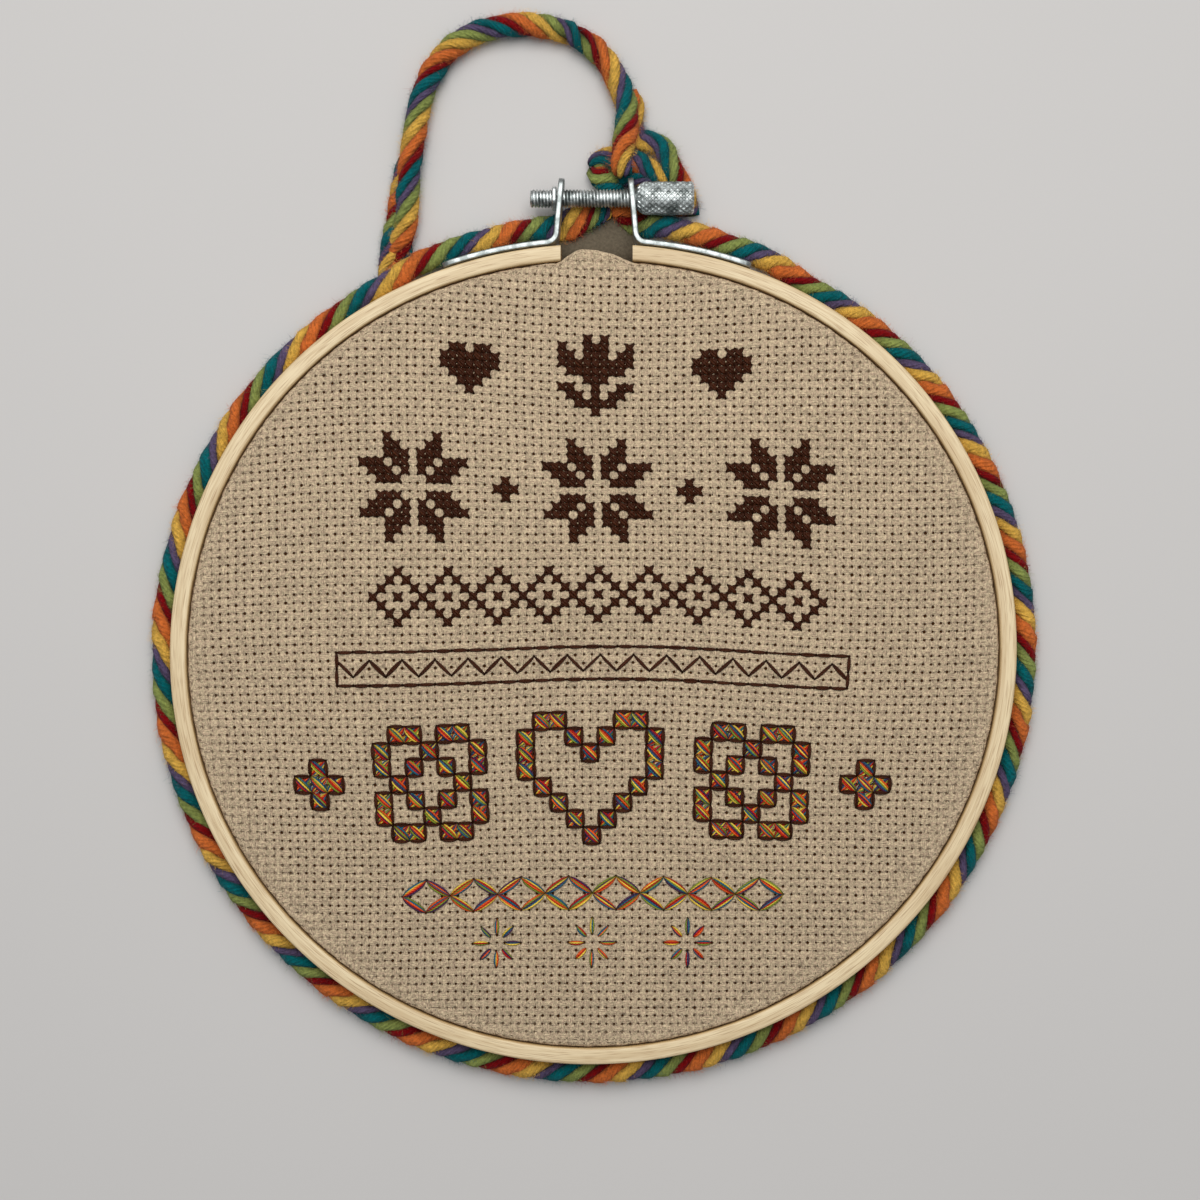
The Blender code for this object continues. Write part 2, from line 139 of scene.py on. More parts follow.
class Shade(Enum):
    """The yarn's six colours, the brown thread's and the six-colour floss's, as linear colours."""

    RED = srgb(140, 6, 14)
    ORANGE = srgb(216, 114, 52)
    YELLOW = srgb(228, 180, 80)
    GREEN = srgb(144, 156, 84)
    TEAL = srgb(0, 102, 108)
    PURPLE = srgb(102, 88, 122)
    BROWN = srgb(68, 30, 8)
    FLOSS_RED = srgb(188, 20, 8)
    FLOSS_ORANGE = srgb(238, 92, 22)
    FLOSS_YELLOW = srgb(246, 210, 74)
    FLOSS_GREEN = srgb(136, 152, 46)
    FLOSS_BLUE = srgb(30, 98, 124)
    FLOSS_PLUM = srgb(74, 36, 80)


# Shader graphs --------------------


class Wire:
    """A node's output, on which Python's operators add Math nodes."""

    def __init__(self, graph: Graph, socket: bpy.types.NodeSocket) -> None:
        """Keep the graph and the socket."""
        self.graph = graph
        self.socket = socket

    def maths(self, operation: str, *values: Wire | float) -> Wire:
        """The result of one Math node.

        Args:
            operation: the node's operation.
            values: its inputs in order.

        Returns:
            The node's output.
        """
        made = self.graph.node("ShaderNodeMath", {"operation": operation}, dict(enumerate(values)))
        return Wire(self.graph, made.outputs[0])

    def __add__(self, other: Wire | float) -> Wire:
        """self + other."""
        return self.maths("ADD", self, other)

    __radd__ = __add__

    def __sub__(self, other: Wire | float) -> Wire:
        """self - other."""
        return self.maths("SUBTRACT", self, other)

    def __rsub__(self, other: float) -> Wire:
        """other - self."""
        return self.maths("SUBTRACT", other, self)

    def __mul__(self, other: Wire | float) -> Wire:
        """self * other."""
        return self.maths("MULTIPLY", self, other)

    __rmul__ = __mul__

    def __mod__(self, other: Wire | float) -> Wire:
        """self modulo other, never negative."""
        return self.maths("FLOORED_MODULO", self, other)

    def __rmod__(self, other: float) -> Wire:
        """other modulo self, never negative."""
        return self.maths("FLOORED_MODULO", other, self)

    def cosine(self) -> Wire:
        """Its cosine."""
        return self.maths("COSINE", self)

    def floor(self) -> Wire:
        """Its whole part."""
        return self.maths("FLOOR", self)

    def size(self) -> Wire:
        """Its absolute value."""
        return self.maths("ABSOLUTE", self)

    def root(self) -> Wire:
        """Its square root."""
        return self.maths("SQRT", self)

    def between(self, low: Wire | float, high: Wire | float) -> Wire:
        """How far it is from low to high, as a smooth step from 0 to 1.

        Args:
            low: the value that gives 0.
            high: the value that gives 1.

        Returns:
            The step.
        """
        settings = {"interpolation_type": "SMOOTHSTEP"}
        made = self.graph.node("ShaderNodeMapRange", settings, {0: self, 1: low, 2: high})
        return Wire(self.graph, made.outputs[0])


class Graph:
    """A tree of nodes that is built from Python expressions."""

    def __init__(self, tree: bpy.types.NodeTree) -> None:
        """Keep the tree."""
        self.tree = tree

    def feed(self, socket: bpy.types.NodeSocket, value: object) -> None:
        """Give a socket a link or a value.

        Args:
            socket: the input.
            value: a wire, a number or a tuple.
        """
        if isinstance(value, Wire):
            self.tree.links.new(value.socket, socket)
        elif socket.type == "RGBA":
            socket.default_value = (*value[:3], 1.0)
        else:
            socket.default_value = value

    def node(
        self, kind: str, settings: Mapping[str, object], sockets: Mapping[object, object]
    ) -> bpy.types.Node:
        """Add one node.

        Args:
            kind: the node's type.
            settings: its settings, which are set first.
            sockets: the values or wires of its inputs, by name or place.

        Returns:
            The node.
        """
        made = self.tree.nodes.new(kind)
        for key, value in settings.items():
            setattr(made, key, value)
        for key, value in sockets.items():
            self.feed(made.inputs[key], value)
        return made

    def output(self, made: bpy.types.Node, place: object = 0) -> Wire:
        """A node's output as a wire."""
        return Wire(self, made.outputs[place])

    def across(self) -> tuple[Wire, Wire]:
        """The two coordinates of the "lay" layer.

        Returns:
            The first and the second.
        """
        uv = self.output(self.node("ShaderNodeUVMap", {"uv_map": LAY}, {}))
        split = self.node("ShaderNodeSeparateXYZ", {}, {0: uv})
        return self.output(split, 0), self.output(split, 1)

    def point(self, x: Wire | float, y: Wire | float, z: Wire | float = 0.0) -> Wire:
        """A vector from three values."""
        return self.output(self.node("ShaderNodeCombineXYZ", {}, {0: x, 1: y, 2: z}))

    def place(self) -> Wire:
        """The object's own coordinates."""
        return self.output(self.node("ShaderNodeTexCoord", {}, {}), "Object")

    def tint(self) -> Wire:
        """The colour painted on the mesh."""
        return self.output(self.node("ShaderNodeAttribute", {"attribute_name": TINT}, {}), "Color")

    def noise(self, where: Wire, scale: float, detail: float = 2.0, rough: float = 0.5) -> Wire:
        """Noise about 0.5.

        Args:
            where: the place.
            scale: cells for each unit.
            detail: octaves.
            rough: how much the finer octaves show.

        Returns:
            The noise's value.
        """
        sockets = {"Vector": where, "Scale": scale, "Detail": detail, "Roughness": rough}
        return self.output(self.node("ShaderNodeTexNoise", {}, sockets))

    def mix(self, share: Wire | float, first: object, second: object, blend: str = "MIX") -> Wire:
        """Two colours mixed.

        Args:
            share: how much of the second.
            first, second: colours or wires.
            blend: how the second goes on the first.

        Returns:
            The colour.
        """
        settings = {"data_type": "RGBA", "blend_type": blend}
        return self.output(self.node("ShaderNodeMix", settings, {0: share, 6: first, 7: second}), 2)

    def shaded(self, colour: object, level: Wire) -> Wire:
        """A colour multiplied by a grey level."""
        grey = self.output(self.node("ShaderNodeCombineColor", {}, {0: level, 1: level, 2: level}))
        return self.mix(1.0, colour, grey, "MULTIPLY")

    def tinted(self, colour: object) -> Wire:
        """A colour multiplied by the colour painted on the mesh."""
        return self.mix(1.0, colour, self.tint(), "MULTIPLY")


class Surface(Graph):
    """One material's nodes around its Principled shader."""

    def __init__(
        self, name: str, roughness: float, metallic: float = 0.0, sheen: float = 0.0, gloss: float = 0.5
    ) -> None:
        """Start a material whose plain values are set on the shader's own sockets.

        Args:
            name: the material's name.
            roughness: roughness all over.
            metallic: metal all over.
            sheen: weight of the soft sheen.
            gloss: how strong the surface's own reflection is.
        """
        self.material = bpy.data.materials.new(name)
        self.material.use_nodes = True
        super().__init__(self.material.node_tree)
        self.shader = self.tree.nodes["Principled BSDF"]
        plain = {"Roughness": roughness, "Metallic": metallic, "Specular IOR Level": gloss}
        plain |= {"Sheen Weight": sheen, "Sheen Roughness": SHEEN_ROUGHNESS}
        for socket, value in plain.items():
            self.shader.inputs[socket].default_value = value

    def finish(self, colour: Wire, height: Wire | None = None, depth: float = 0.0) -> Material:
        """Link the colour and the fine relief.

        Args:
            colour: the base colour.
            height: the relief, from 0 to 1.
            depth: how many metres a height of 1 is.

        Returns:
            The material.
        """
        self.feed(self.shader.inputs["Base Color"], colour)
        if height is not None:
            bump = self.node("ShaderNodeBump", {}, {"Strength": 1.0, "Distance": depth, "Height": height})
            self.feed(self.shader.inputs["Normal"], self.output(bump))
        return self.material


@dataclass(frozen=True)
class Wood:
    """Pale sanded wood with fine straight grain along the ring; the "lay" layer is in metres."""

    name: str
    light: Colour = srgb(234, 214, 175)
    dark: Colour = srgb(212, 187, 146)
    line: Colour = srgb(164, 128, 88)
    roughness: float = 0.5
    relief: float = 0.05 * MM

    def material(self) -> Material:
        """Build the finish.

        Returns:
            The material.
        """
        graph = Surface(self.name, self.roughness)
        along, over = graph.across()
        wide = graph.noise(graph.point(along * 22, over * 420), 1.0, 3.0, 0.6)
        fine = graph.noise(graph.point(along * 90, over * 2600), 1.0, 2.0, 0.6)
        pores = graph.noise(graph.point(along * 160, over * 5200, 3.1), 1.0, 1.0)
        body = graph.mix(wide.between(0.4, 0.7), self.light, self.dark)
        streaked = graph.mix(fine.between(0.46, 0.64) * 0.85, body, self.dark)
        pored = graph.mix(pores.between(0.54, 0.7) * 0.62, streaked, self.line)
        # The mesh's tint carries painted shade on the rings' sides.
        return graph.finish(graph.tinted(pored), fine * 0.7 + pores * 0.3, self.relief)


@dataclass(frozen=True)
class EndGrain:
    """Sawn wood across the grain."""

    name: str = "wood_sawn"
    light: Colour = srgb(206, 178, 134)
    dark: Colour = srgb(150, 116, 76)
    roughness: float = 0.8
    relief: float = 0.1 * MM

    def material(self) -> Material:
        """Build the finish.

        Returns:
            The material.
        """
        graph = Surface(self.name, self.roughness)
        speck = graph.noise(graph.place(), 3200, 3.0, 0.7)
        return graph.finish(graph.mix(speck.between(0.3, 0.7), self.light, self.dark), speck, self.relief)


@dataclass(frozen=True)
class Linen:
    """Even-weave cotton in blocks of threads.

    The "lay" layer counts the blocks, and the holes lie at whole numbers.
    """

    name: str = "even_weave"
    thread: Colour = srgb(198, 179, 148)
    wear_and_shade: Colour = srgb(182, 159, 134)
    # The holes' colour is painted shade: the dark space under the cloth seen through them.
    hole: Colour = srgb(66, 34, 2)
    small_hole: float = 0.11
    large_hole: float = 0.145
    hole_wander: float = 0.16
    hole_spread: float = 0.1
    hole_ragged: float = 0.09
    turned_from: float = 45.5
    turned_to: float = 48.5
    threads: int = 4
    fibre_contrast: float = 1.6
    fleck_contrast: float = 1.1
    strand_contrast: float = 1.8
    block_contrast: float = 0.3
    groove_shade: float = 0.14
    tick_dark: float = 0.42
    roughness: float = 0.92
    relief: float = 0.16 * MM

    def material(self) -> Material:
        """Build the finish.

        Returns:
            The material.
        """
        graph = Surface(self.name, self.roughness, sheen=0.04, gloss=0.08)
        across, down = graph.across()
        corner_x = (across + 0.5).floor()
        corner_y = (down + 0.5).floor()
        astray = graph.point(corner_x * 3.77, corner_y * 3.77, 8.0)
        from_x = across - corner_x + (graph.noise(astray, 1.0, 0.0) - 0.5) * self.hole_wander
        from_y = down - corner_y + (graph.noise(astray, 1.3, 0.0) - 0.5) * self.hole_wander
        far = (from_x * from_x + from_y * from_y).root()
        odd = (corner_x + corner_y) % 2.0
        chance = graph.noise(graph.point(corner_x * 7.31, corner_y * 7.31), 1.0, 0.0)
        ragged = graph.noise(graph.point(across, down), 6.0, 2.0)
        reach = odd * (self.large_hole - self.small_hole) + self.small_hole
        reach = reach + (chance - 0.5) * self.hole_spread
        reach = reach + (ragged - 0.5) * self.hole_ragged
        turned = (across * across + down * down).root().between(self.turned_from, self.turned_to)
        # Painted shade in the holes, fainter where the cloth turns under the ring.
        hole = (1 - far.between(reach - 0.02, reach + 0.07)) * (1 - turned * 0.6)
        upright = (across.floor() + down.floor()) % 2.0
        ribs_x = (across * (math.tau * self.threads)).cosine()
        ribs_y = (down * (math.tau * self.threads)).cosine()
        ribs = 0.5 - 0.5 * (upright * ribs_x + (1 - upright) * ribs_y)
        seam = 1 - (upright * from_x.size() + (1 - upright) * from_y.size()).between(0.0, 0.2)
        legs = seam * (1 - far.between(0.12, 0.4))
        tick_at = (from_x.size() + from_y * 0.35 - 0.3).size()
        ticks = (1 - tick_at.between(0.02, 0.09)) * (1 - (from_y - 0.02).size().between(0.07, 0.18))
        ticks = ticks * graph.noise(graph.point(across, down, 7.7), 1.9, 1.0).between(0.38, 0.55)
        fibre = graph.noise(graph.point(across, down, 1.7), 3.6, 3.0, 0.75)
        upward = graph.noise(graph.point(across * 7, down * 1.6, 2.2), 1.0, 2.0, 0.6)
        sideward = graph.noise(graph.point(across * 1.6, down * 7, 3.2), 1.0, 2.0, 0.6)
        strands = upright * upward + (1 - upright) * sideward
        fleck = graph.noise(graph.point(across, down, 4.2), 9.0, 2.0, 0.7)
        patch = graph.noise(graph.point(across, down, 5.3), 0.11, 2.0)
        level = 0.92 + ribs * 0.05 + (fibre - 0.5) * self.fibre_contrast
        level = level + (fleck - 0.5) * self.fleck_contrast + (strands - 0.5) * self.strand_contrast
        block = graph.noise(graph.point(across.floor() * 5.17, down.floor() * 5.17, 6.0), 1.0, 0.0)
        # Painted shade in the grooves that run into the holes.
        level = level - legs * self.groove_shade - ticks * self.tick_dark + (patch - 0.5) * 0.1
        # Painted light: the cloth is slightly lighter towards the top and darker towards the bottom.
        level = level + (block - 0.5) * self.block_contrast + down * 0.0009
        wear = graph.noise(graph.point(across, down, 9.0), 3.1, 2.0).between(0.4, 0.6)
        body = graph.mix(wear, self.thread, self.wear_and_shade)
        colour = graph.tinted(graph.mix(hole, graph.shaded(body, level), self.hole))
        height = ribs * 0.25 + fibre * 0.8 - legs * 0.5 - hole * 1.2
        return graph.finish(colour, height, self.relief)


@dataclass(frozen=True)
class ShadedTailLinen:
    """The same cotton for the cloth's tail, far darker than the cloth: its colour is painted shade, and its
    weave is too dark to see.
    """

    name: str = "tail_linen_painted_shade"
    light: Colour = srgb(110, 100, 84)
    dark: Colour = srgb(93, 84, 70)
    roughness: float = 0.92
    relief: float = 0.08 * MM

    def material(self) -> Material:
        """Build the finish.

        Returns:
            The material.
        """
        graph = Surface(self.name, self.roughness, gloss=0.2)
        fibre = graph.noise(graph.place(), 1600, 3.0, 0.65)
        return graph.finish(graph.mix(fibre.between(0.3, 0.7), self.dark, self.light), fibre, self.relief)


@dataclass(frozen=True)
class SoftYarn:
    """Soft wool yarn in the mesh's own tint; the "lay" layer runs along the strand in metres and round it."""

    name: str = "soft_yarn"
    plies: int = 6
    relief: float = 0.55 * MM

    def material(self) -> Material:
        """Build the finish.

        Returns:
            The material.
        """
        graph = Surface(self.name, 1.0, sheen=0.05, gloss=0.08)
        along, around = graph.across()
        wander = graph.noise(graph.place(), 500, 2.0) * 0.12
        plies = ((around + wander) * (self.plies * math.tau)).cosine() * 0.5 + 0.5
        fibres = graph.noise(graph.point(along * 420, around * 30), 1.0, 3.0, 0.7)
        curls = graph.noise(graph.place(), 2600, 3.0, 0.7)
        patch = graph.noise(graph.place(), 300, 2.0)
        coarse = graph.noise(graph.place(), 1100, 2.0, 0.6)
        mottled = (fibres * 0.35 + curls * 0.3 + coarse * 0.35).between(0.33, 0.67)
        level = 0.54 + plies * 0.1 + mottled * 0.68 + (patch - 0.5) * 0.5
        height = plies * 0.35 + fibres * 0.4 + curls * 0.6 + coarse * 0.3
        return graph.finish(graph.shaded(graph.tint(), level), height, self.relief)


@dataclass(frozen=True)
class Floss:
    """Stranded cotton thread with a low gloss, in the mesh's own tint."""

    name: str
    roughness: float
    gloss: float = 0.5
    sheen: float = 0.1
    twists: float = 1500.0
    relief: float = 0.08 * MM

    def material(self) -> Material:
        """Build the finish.

        Returns:
            The material.
        """
        graph = Surface(self.name, self.roughness, sheen=self.sheen, gloss=self.gloss)
        along, around = graph.across()
        twist = ((around * 2 + along * self.twists) * math.tau).cosine() * 0.5 + 0.5
        speck = graph.noise(graph.place(), 2600, 2.0, 0.6)
        level = 0.78 + twist * 0.22 + (speck - 0.5) * 0.4
        return graph.finish(graph.shaded(graph.tint(), level), twist, self.relief)


@dataclass(frozen=True)
class Zinc:
    """Bright zinc plate."""

    name: str
    tone: Colour
    roughness: float
    dull: Colour = srgb(150, 157, 156)
    wavy: float = 0.1 * MM

    def material(self) -> Material:
        """Build the finish.

        Returns:
            The material.
        """
        graph = Surface(self.name, self.roughness, metallic=1.0)
        cloud = graph.noise(graph.place(), 420, 4.0, 0.65)
        scuff = graph.noise(graph.place(), 1100, 3.0, 0.6)
        colour = graph.mix(cloud.between(0.42, 0.62), self.tone, self.dull)
        graph.feed(graph.shader.inputs["Roughness"], cloud * 0.2 + (self.roughness - 0.06))
        # The mesh's tint carries painted shade in the screw's thread grooves and knurl pits; it is white on
        # the strips and the nut.
        return graph.finish(graph.tinted(colour), scuff, self.wavy)


@dataclass(frozen=True)
class Backdrop:
    """The pale plain surface that the hoop lies on."""

    name: str = "pale_board"
    tone: Colour = srgb(204, 202, 201)
    roughness: float = 0.9

    def material(self) -> Material:
        """Build the finish.

        Returns:
            The material.
        """
        graph = Surface(self.name, self.roughness)
        cloud = graph.noise(graph.place(), 9.0, 2.0)
        return graph.finish(graph.shaded(self.tone, 0.985 + cloud * 0.03))


# Meshes --------------------


@dataclass
class Layout:
    """Grids of points, with their coordinates, tints and finishes, gathered into one mesh."""

    spots: list[Array] = field(default_factory=list)
    faces: list[tuple[Array, Array, int]] = field(default_factory=list)
    tints: list[Array] = field(default_factory=list)
    count: int = 0

    def add_points(self, points: Array, tint: Array | Colour) -> Array:
        """Add points and give their numbers in the same layout.

        Args:
            points: an array whose last axis is x, y, z.
            tint: one colour, or one for each point.

        Returns:
            The points' numbers.
        """
        flat = points.reshape(-1, 3)
        numbers = np.arange(len(flat)) + self.count
        self.count += len(flat)
        self.spots.append(flat)
        self.tints.append(np.broadcast_to(np.asarray(tint, float), points.shape).reshape(-1, 3))
        return numbers.reshape(points.shape[:-1])

    def add_faces(self, corners: Array, lay: Array, slot: int = 0) -> None:
        """Add faces that all have the same number of corners.

        Args:
            corners: the points' numbers, one row for each face.
            lay: the coordinates of those corners.
            slot: which finish they take.
        """
        self.faces.append((corners, lay, slot))

    def add_grid(
        self,
        points: Array,
        lay: Array,
        closed: bool = True,
        tint: Array | Colour = (1.0, 1.0, 1.0),
        slot: int = 0,
        caps: bool = True,
        cap_slot: int | None = None,
    ) -> None:
        """Add one or many grids of rings or rows.

        Args:
            points: (..., rings, sides, 3).
            lay: (..., rings, sides or sides + 1, 2); the extra column closes the coordinates.
            closed: whether each ring closes on itself.
            tint: colour of the points.
            slot: finish of the sides.
            caps: whether the first and last rings are filled.
            cap_slot: finish of the fillings.
        """
        numbers = self.add_points(points, tint)
        wide = np.concatenate([numbers, numbers[..., :1]], axis=-1) if closed else numbers

        def quads(grid: Array) -> Array:
            """The four corners of each cell of a grid.

            Args:
                grid: (..., rings, sides, values).

            Returns:
                (..., rings - 1, sides - 1, 4, values).
            """
            first, second = grid[..., :-1, :, :], grid[..., 1:, :, :]
            turn = (first[..., :-1, :], first[..., 1:, :], second[..., 1:, :], second[..., :-1, :])
            return np.stack(turn, axis=-2)

        corners = quads(wide[..., None])[..., 0].reshape(-1, 4)
        self.add_faces(corners, quads(lay).reshape(-1, 4, 2), slot)
        if closed and caps:
            sides = points.shape[-2]
            first, last = numbers[..., 0, ::-1], numbers[..., -1, :]
            ends = np.concatenate([first.reshape(-1, sides), last.reshape(-1, sides)])
            flat_lay = np.zeros((*ends.shape, 2))
            self.add_faces(ends, flat_lay, slot if cap_slot is None else cap_slot)

    def mesh(self, name: str, finishes: Sequence[Material]) -> bpy.types.Mesh:
        """The gathered mesh.

        Args:
            name: its name.
            finishes: its materials in the order of the slots.

        Returns:
            The mesh, smooth shaded.
        """
        made = bpy.data.meshes.new(name)
        spots = np.concatenate(self.spots)
        loops = np.concatenate([corners.ravel() for corners, _, _ in self.faces])
        sizes = np.concatenate([np.full(len(corners), corners.shape[1]) for corners, _, _ in self.faces])
        slots = np.concatenate([np.full(len(corners), slot) for corners, _, slot in self.faces])
        made.vertices.add(len(spots))
        made.vertices.foreach_set("co", spots.astype(np.float32).ravel())
        made.loops.add(len(loops))
        made.loops.foreach_set("vertex_index", loops.astype(np.int32))
        made.polygons.add(len(sizes))
        starts = np.concatenate([[0], np.cumsum(sizes)[:-1]])
        made.polygons.foreach_set("loop_start", starts.astype(np.int32))
        made.polygons.foreach_set("material_index", slots.astype(np.int32))
        made.update(calc_edges=True)
        layer = made.uv_layers.new(name=LAY)
        lay = np.concatenate([lay.reshape(-1, 2) for _, lay, _ in self.faces])
        layer.uv.foreach_set("vector", lay.astype(np.float32).ravel())
        tint = made.color_attributes.new(name=TINT, type="FLOAT_COLOR", domain="POINT")
        colours = np.concatenate([np.concatenate(self.tints), np.ones((len(spots), 1))], axis=1)
        tint.data.foreach_set("color", colours.astype(np.float32).ravel())
        for finish in finishes:
            made.materials.append(finish)
        made.shade_smooth()
        return made


@dataclass
class Piece:
    """One visible piece: where it belongs and what it stands for."""

    name: str
    body: str = HOOP
    slot: str = ""
    replaces: tuple[str, ...] = ()
    sharp: float | None = None

    def place(self, mesh: bpy.types.Mesh) -> Object:
        """Put the mesh in the scene and tie it to its body.

        Args:
            mesh: the finished mesh.

        Returns:
            The object.
        """
        made = linked(self.name, mesh)
        if self.sharp is not None:
            mesh.set_sharp_from_angle(angle=math.radians(self.sharp))
        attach(made, self.body)
        if self.replaces:
            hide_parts(*self.replaces)
        LOG.info("%s: %d faces on %s", self.name, len(mesh.polygons), self.body)
        return made


def turned_out(mesh: bpy.types.Mesh, join: bool = False) -> bpy.types.Mesh:
    """Turn a mesh's faces outward.

    Args:
        mesh: the mesh, changed in place.
        join: whether points that coincide are joined first, and faces that have no area are dropped.

    Returns:
        The same mesh.
    """
    form = bmesh.new()
    form.from_mesh(mesh)
    if join:
        bmesh.ops.remove_doubles(form, verts=form.verts, dist=WELD)
        bmesh.ops.dissolve_degenerate(form, edges=form.edges, dist=WELD)
    bmesh.ops.recalc_face_normals(form, faces=form.faces)
    form.to_mesh(mesh)
    form.free()
    return mesh


# The hoop --------------------


@dataclass(frozen=True)
class Outline:
    """The hoop's outline: a little oval, and flattened at the split."""

    ratio: float = 0.975
    turn: float = math.radians(9.6)
    flat_share: float = 0.0157
    flat_spread: float = math.radians(28)

    def factor(self, angle: Array) -> Array:
        """The outline's distance at an angle, as a share of the nominal radius.

        Args:
            angle: angle about the hoop's centre.

        Returns:
            The share.
        """
        across = angle - self.turn
        oval = self.ratio / np.hypot(self.ratio * np.cos(across), np.sin(across))
        return oval - self.flat_share * np.exp(-((angle_from(angle, SCREW_SIDE) / self.flat_spread) ** 2))

    def at(
        self, radius: Array | float, angle: Array, z: Array | float, outward: float = 0.0
    ) -> Array:
        """Points on the outline of a nominal radius.

        Args:
            radius: nominal radius.
            angle: angle about the hoop's centre.
            z: height.
            outward: distance further out.

        Returns:
            The points in the part's frame.
        """
        far = radius * self.factor(angle) + outward
        return stacked(far * np.cos(angle), far * np.sin(angle), z) + HOOP_CENTRE


OUTLINE = Outline()


def rounded_section(
    inside: float, outside: float, low: float, high: float, edge: float, steps: int
) -> Array:
    """A rectangle with rounded corners, as (radius, z) points.

    Args:
        inside, outside: the two radii.
        low, high: the two heights.
        edge: the corners' radius.
        steps: steps in each corner.

    Returns:
        The closed outline, without its first point again.
    """
    middles = ((outside - edge, high - edge), (inside + edge, high - edge))
    middles += ((inside + edge, low + edge), (outside - edge, low + edge))
    points = []
    for quarter, (x, z) in enumerate(middles):
        for turn in np.linspace(0, math.pi / 2, steps + 1) + quarter * math.pi / 2:
            points.append((x + edge * math.cos(turn), z + edge * math.sin(turn)))
    return np.array(points)


@dataclass
class WoodenRing:
    """A wooden ring of the hoop, whole or split."""

    name: str
    node: str
    inside: float
    outside: float
    depth: float
    edge: float = 0.6 * MM
    # Painted shade on the ring's inner and outer sides, as a tint.
    side_shade_tint: Colour = (0.84, 0.7, 0.48)
    split: tuple[float, float] | None = None
    steps: int = 300
    corner_steps: int = 4
    rounds: int = 12

    def angles(self, radius: Array) -> tuple[Array, Array]:
        """Where the ring starts and ends at each radius of its section.

        Args:
            radius: the section's radii.

        Returns:
            The first and the last angles.
        """
        if self.split is None:
            return np.full_like(radius, SCREW_SIDE), np.full_like(radius, SCREW_SIDE + math.tau)
        ends = []
        for x in self.split:
            angle = np.full_like(radius, SCREW_SIDE)
            for _ in range(self.rounds):
                far = radius * OUTLINE.factor(angle)
                angle = np.arccos(np.clip(x / far, -1, 1))
            ends.append(angle)
        left, right = ends
        return left, right + math.tau

    def build(self, finishes: Sequence[Material]) -> Object:
        """The ring's mesh.

        Args:
            finishes: the long grain and the end grain.

        Returns:
            The placed ring.
        """
        section = rounded_section(self.inside, self.outside, 0.0, self.depth, self.edge, self.corner_steps)
        first, last = self.angles(section[:, 0])
        share = np.linspace(0, 1, self.steps + 1)[:, None]
        angle = first + (last - first) * share
        points = OUTLINE.at(section[:, 0], angle, section[:, 1])
        over = distances(np.concatenate([section, section[:1]]))
        lay = stacked(share * (last[0] - first[0]) * self.outside, over)
        book = Layout()
        whole = self.split is None
        # Painted shade: the ring's inner and outer sides darken from half way up to just below the rounded
        # top edge, where the cord and the cloth shade them.
        wear_and_shade = np.clip((section[:, 1] - self.depth / 2) / (self.depth / 2 - self.edge), 0, 1)
        wear_and_shade *= np.clip((self.depth - section[:, 1]) / self.edge, 0, 1)
        tint = 1 - wear_and_shade[:, None] * (1 - np.array(self.side_shade_tint))
        book.add_grid(points, lay, tint=np.broadcast_to(tint, points.shape), caps=not whole, cap_slot=1)
        mesh = turned_out(book.mesh(self.name, finishes), join=whole)
        return Piece(self.name, slot="wood", replaces=(self.node,), sharp=50).place(mesh)


# The screw --------------------


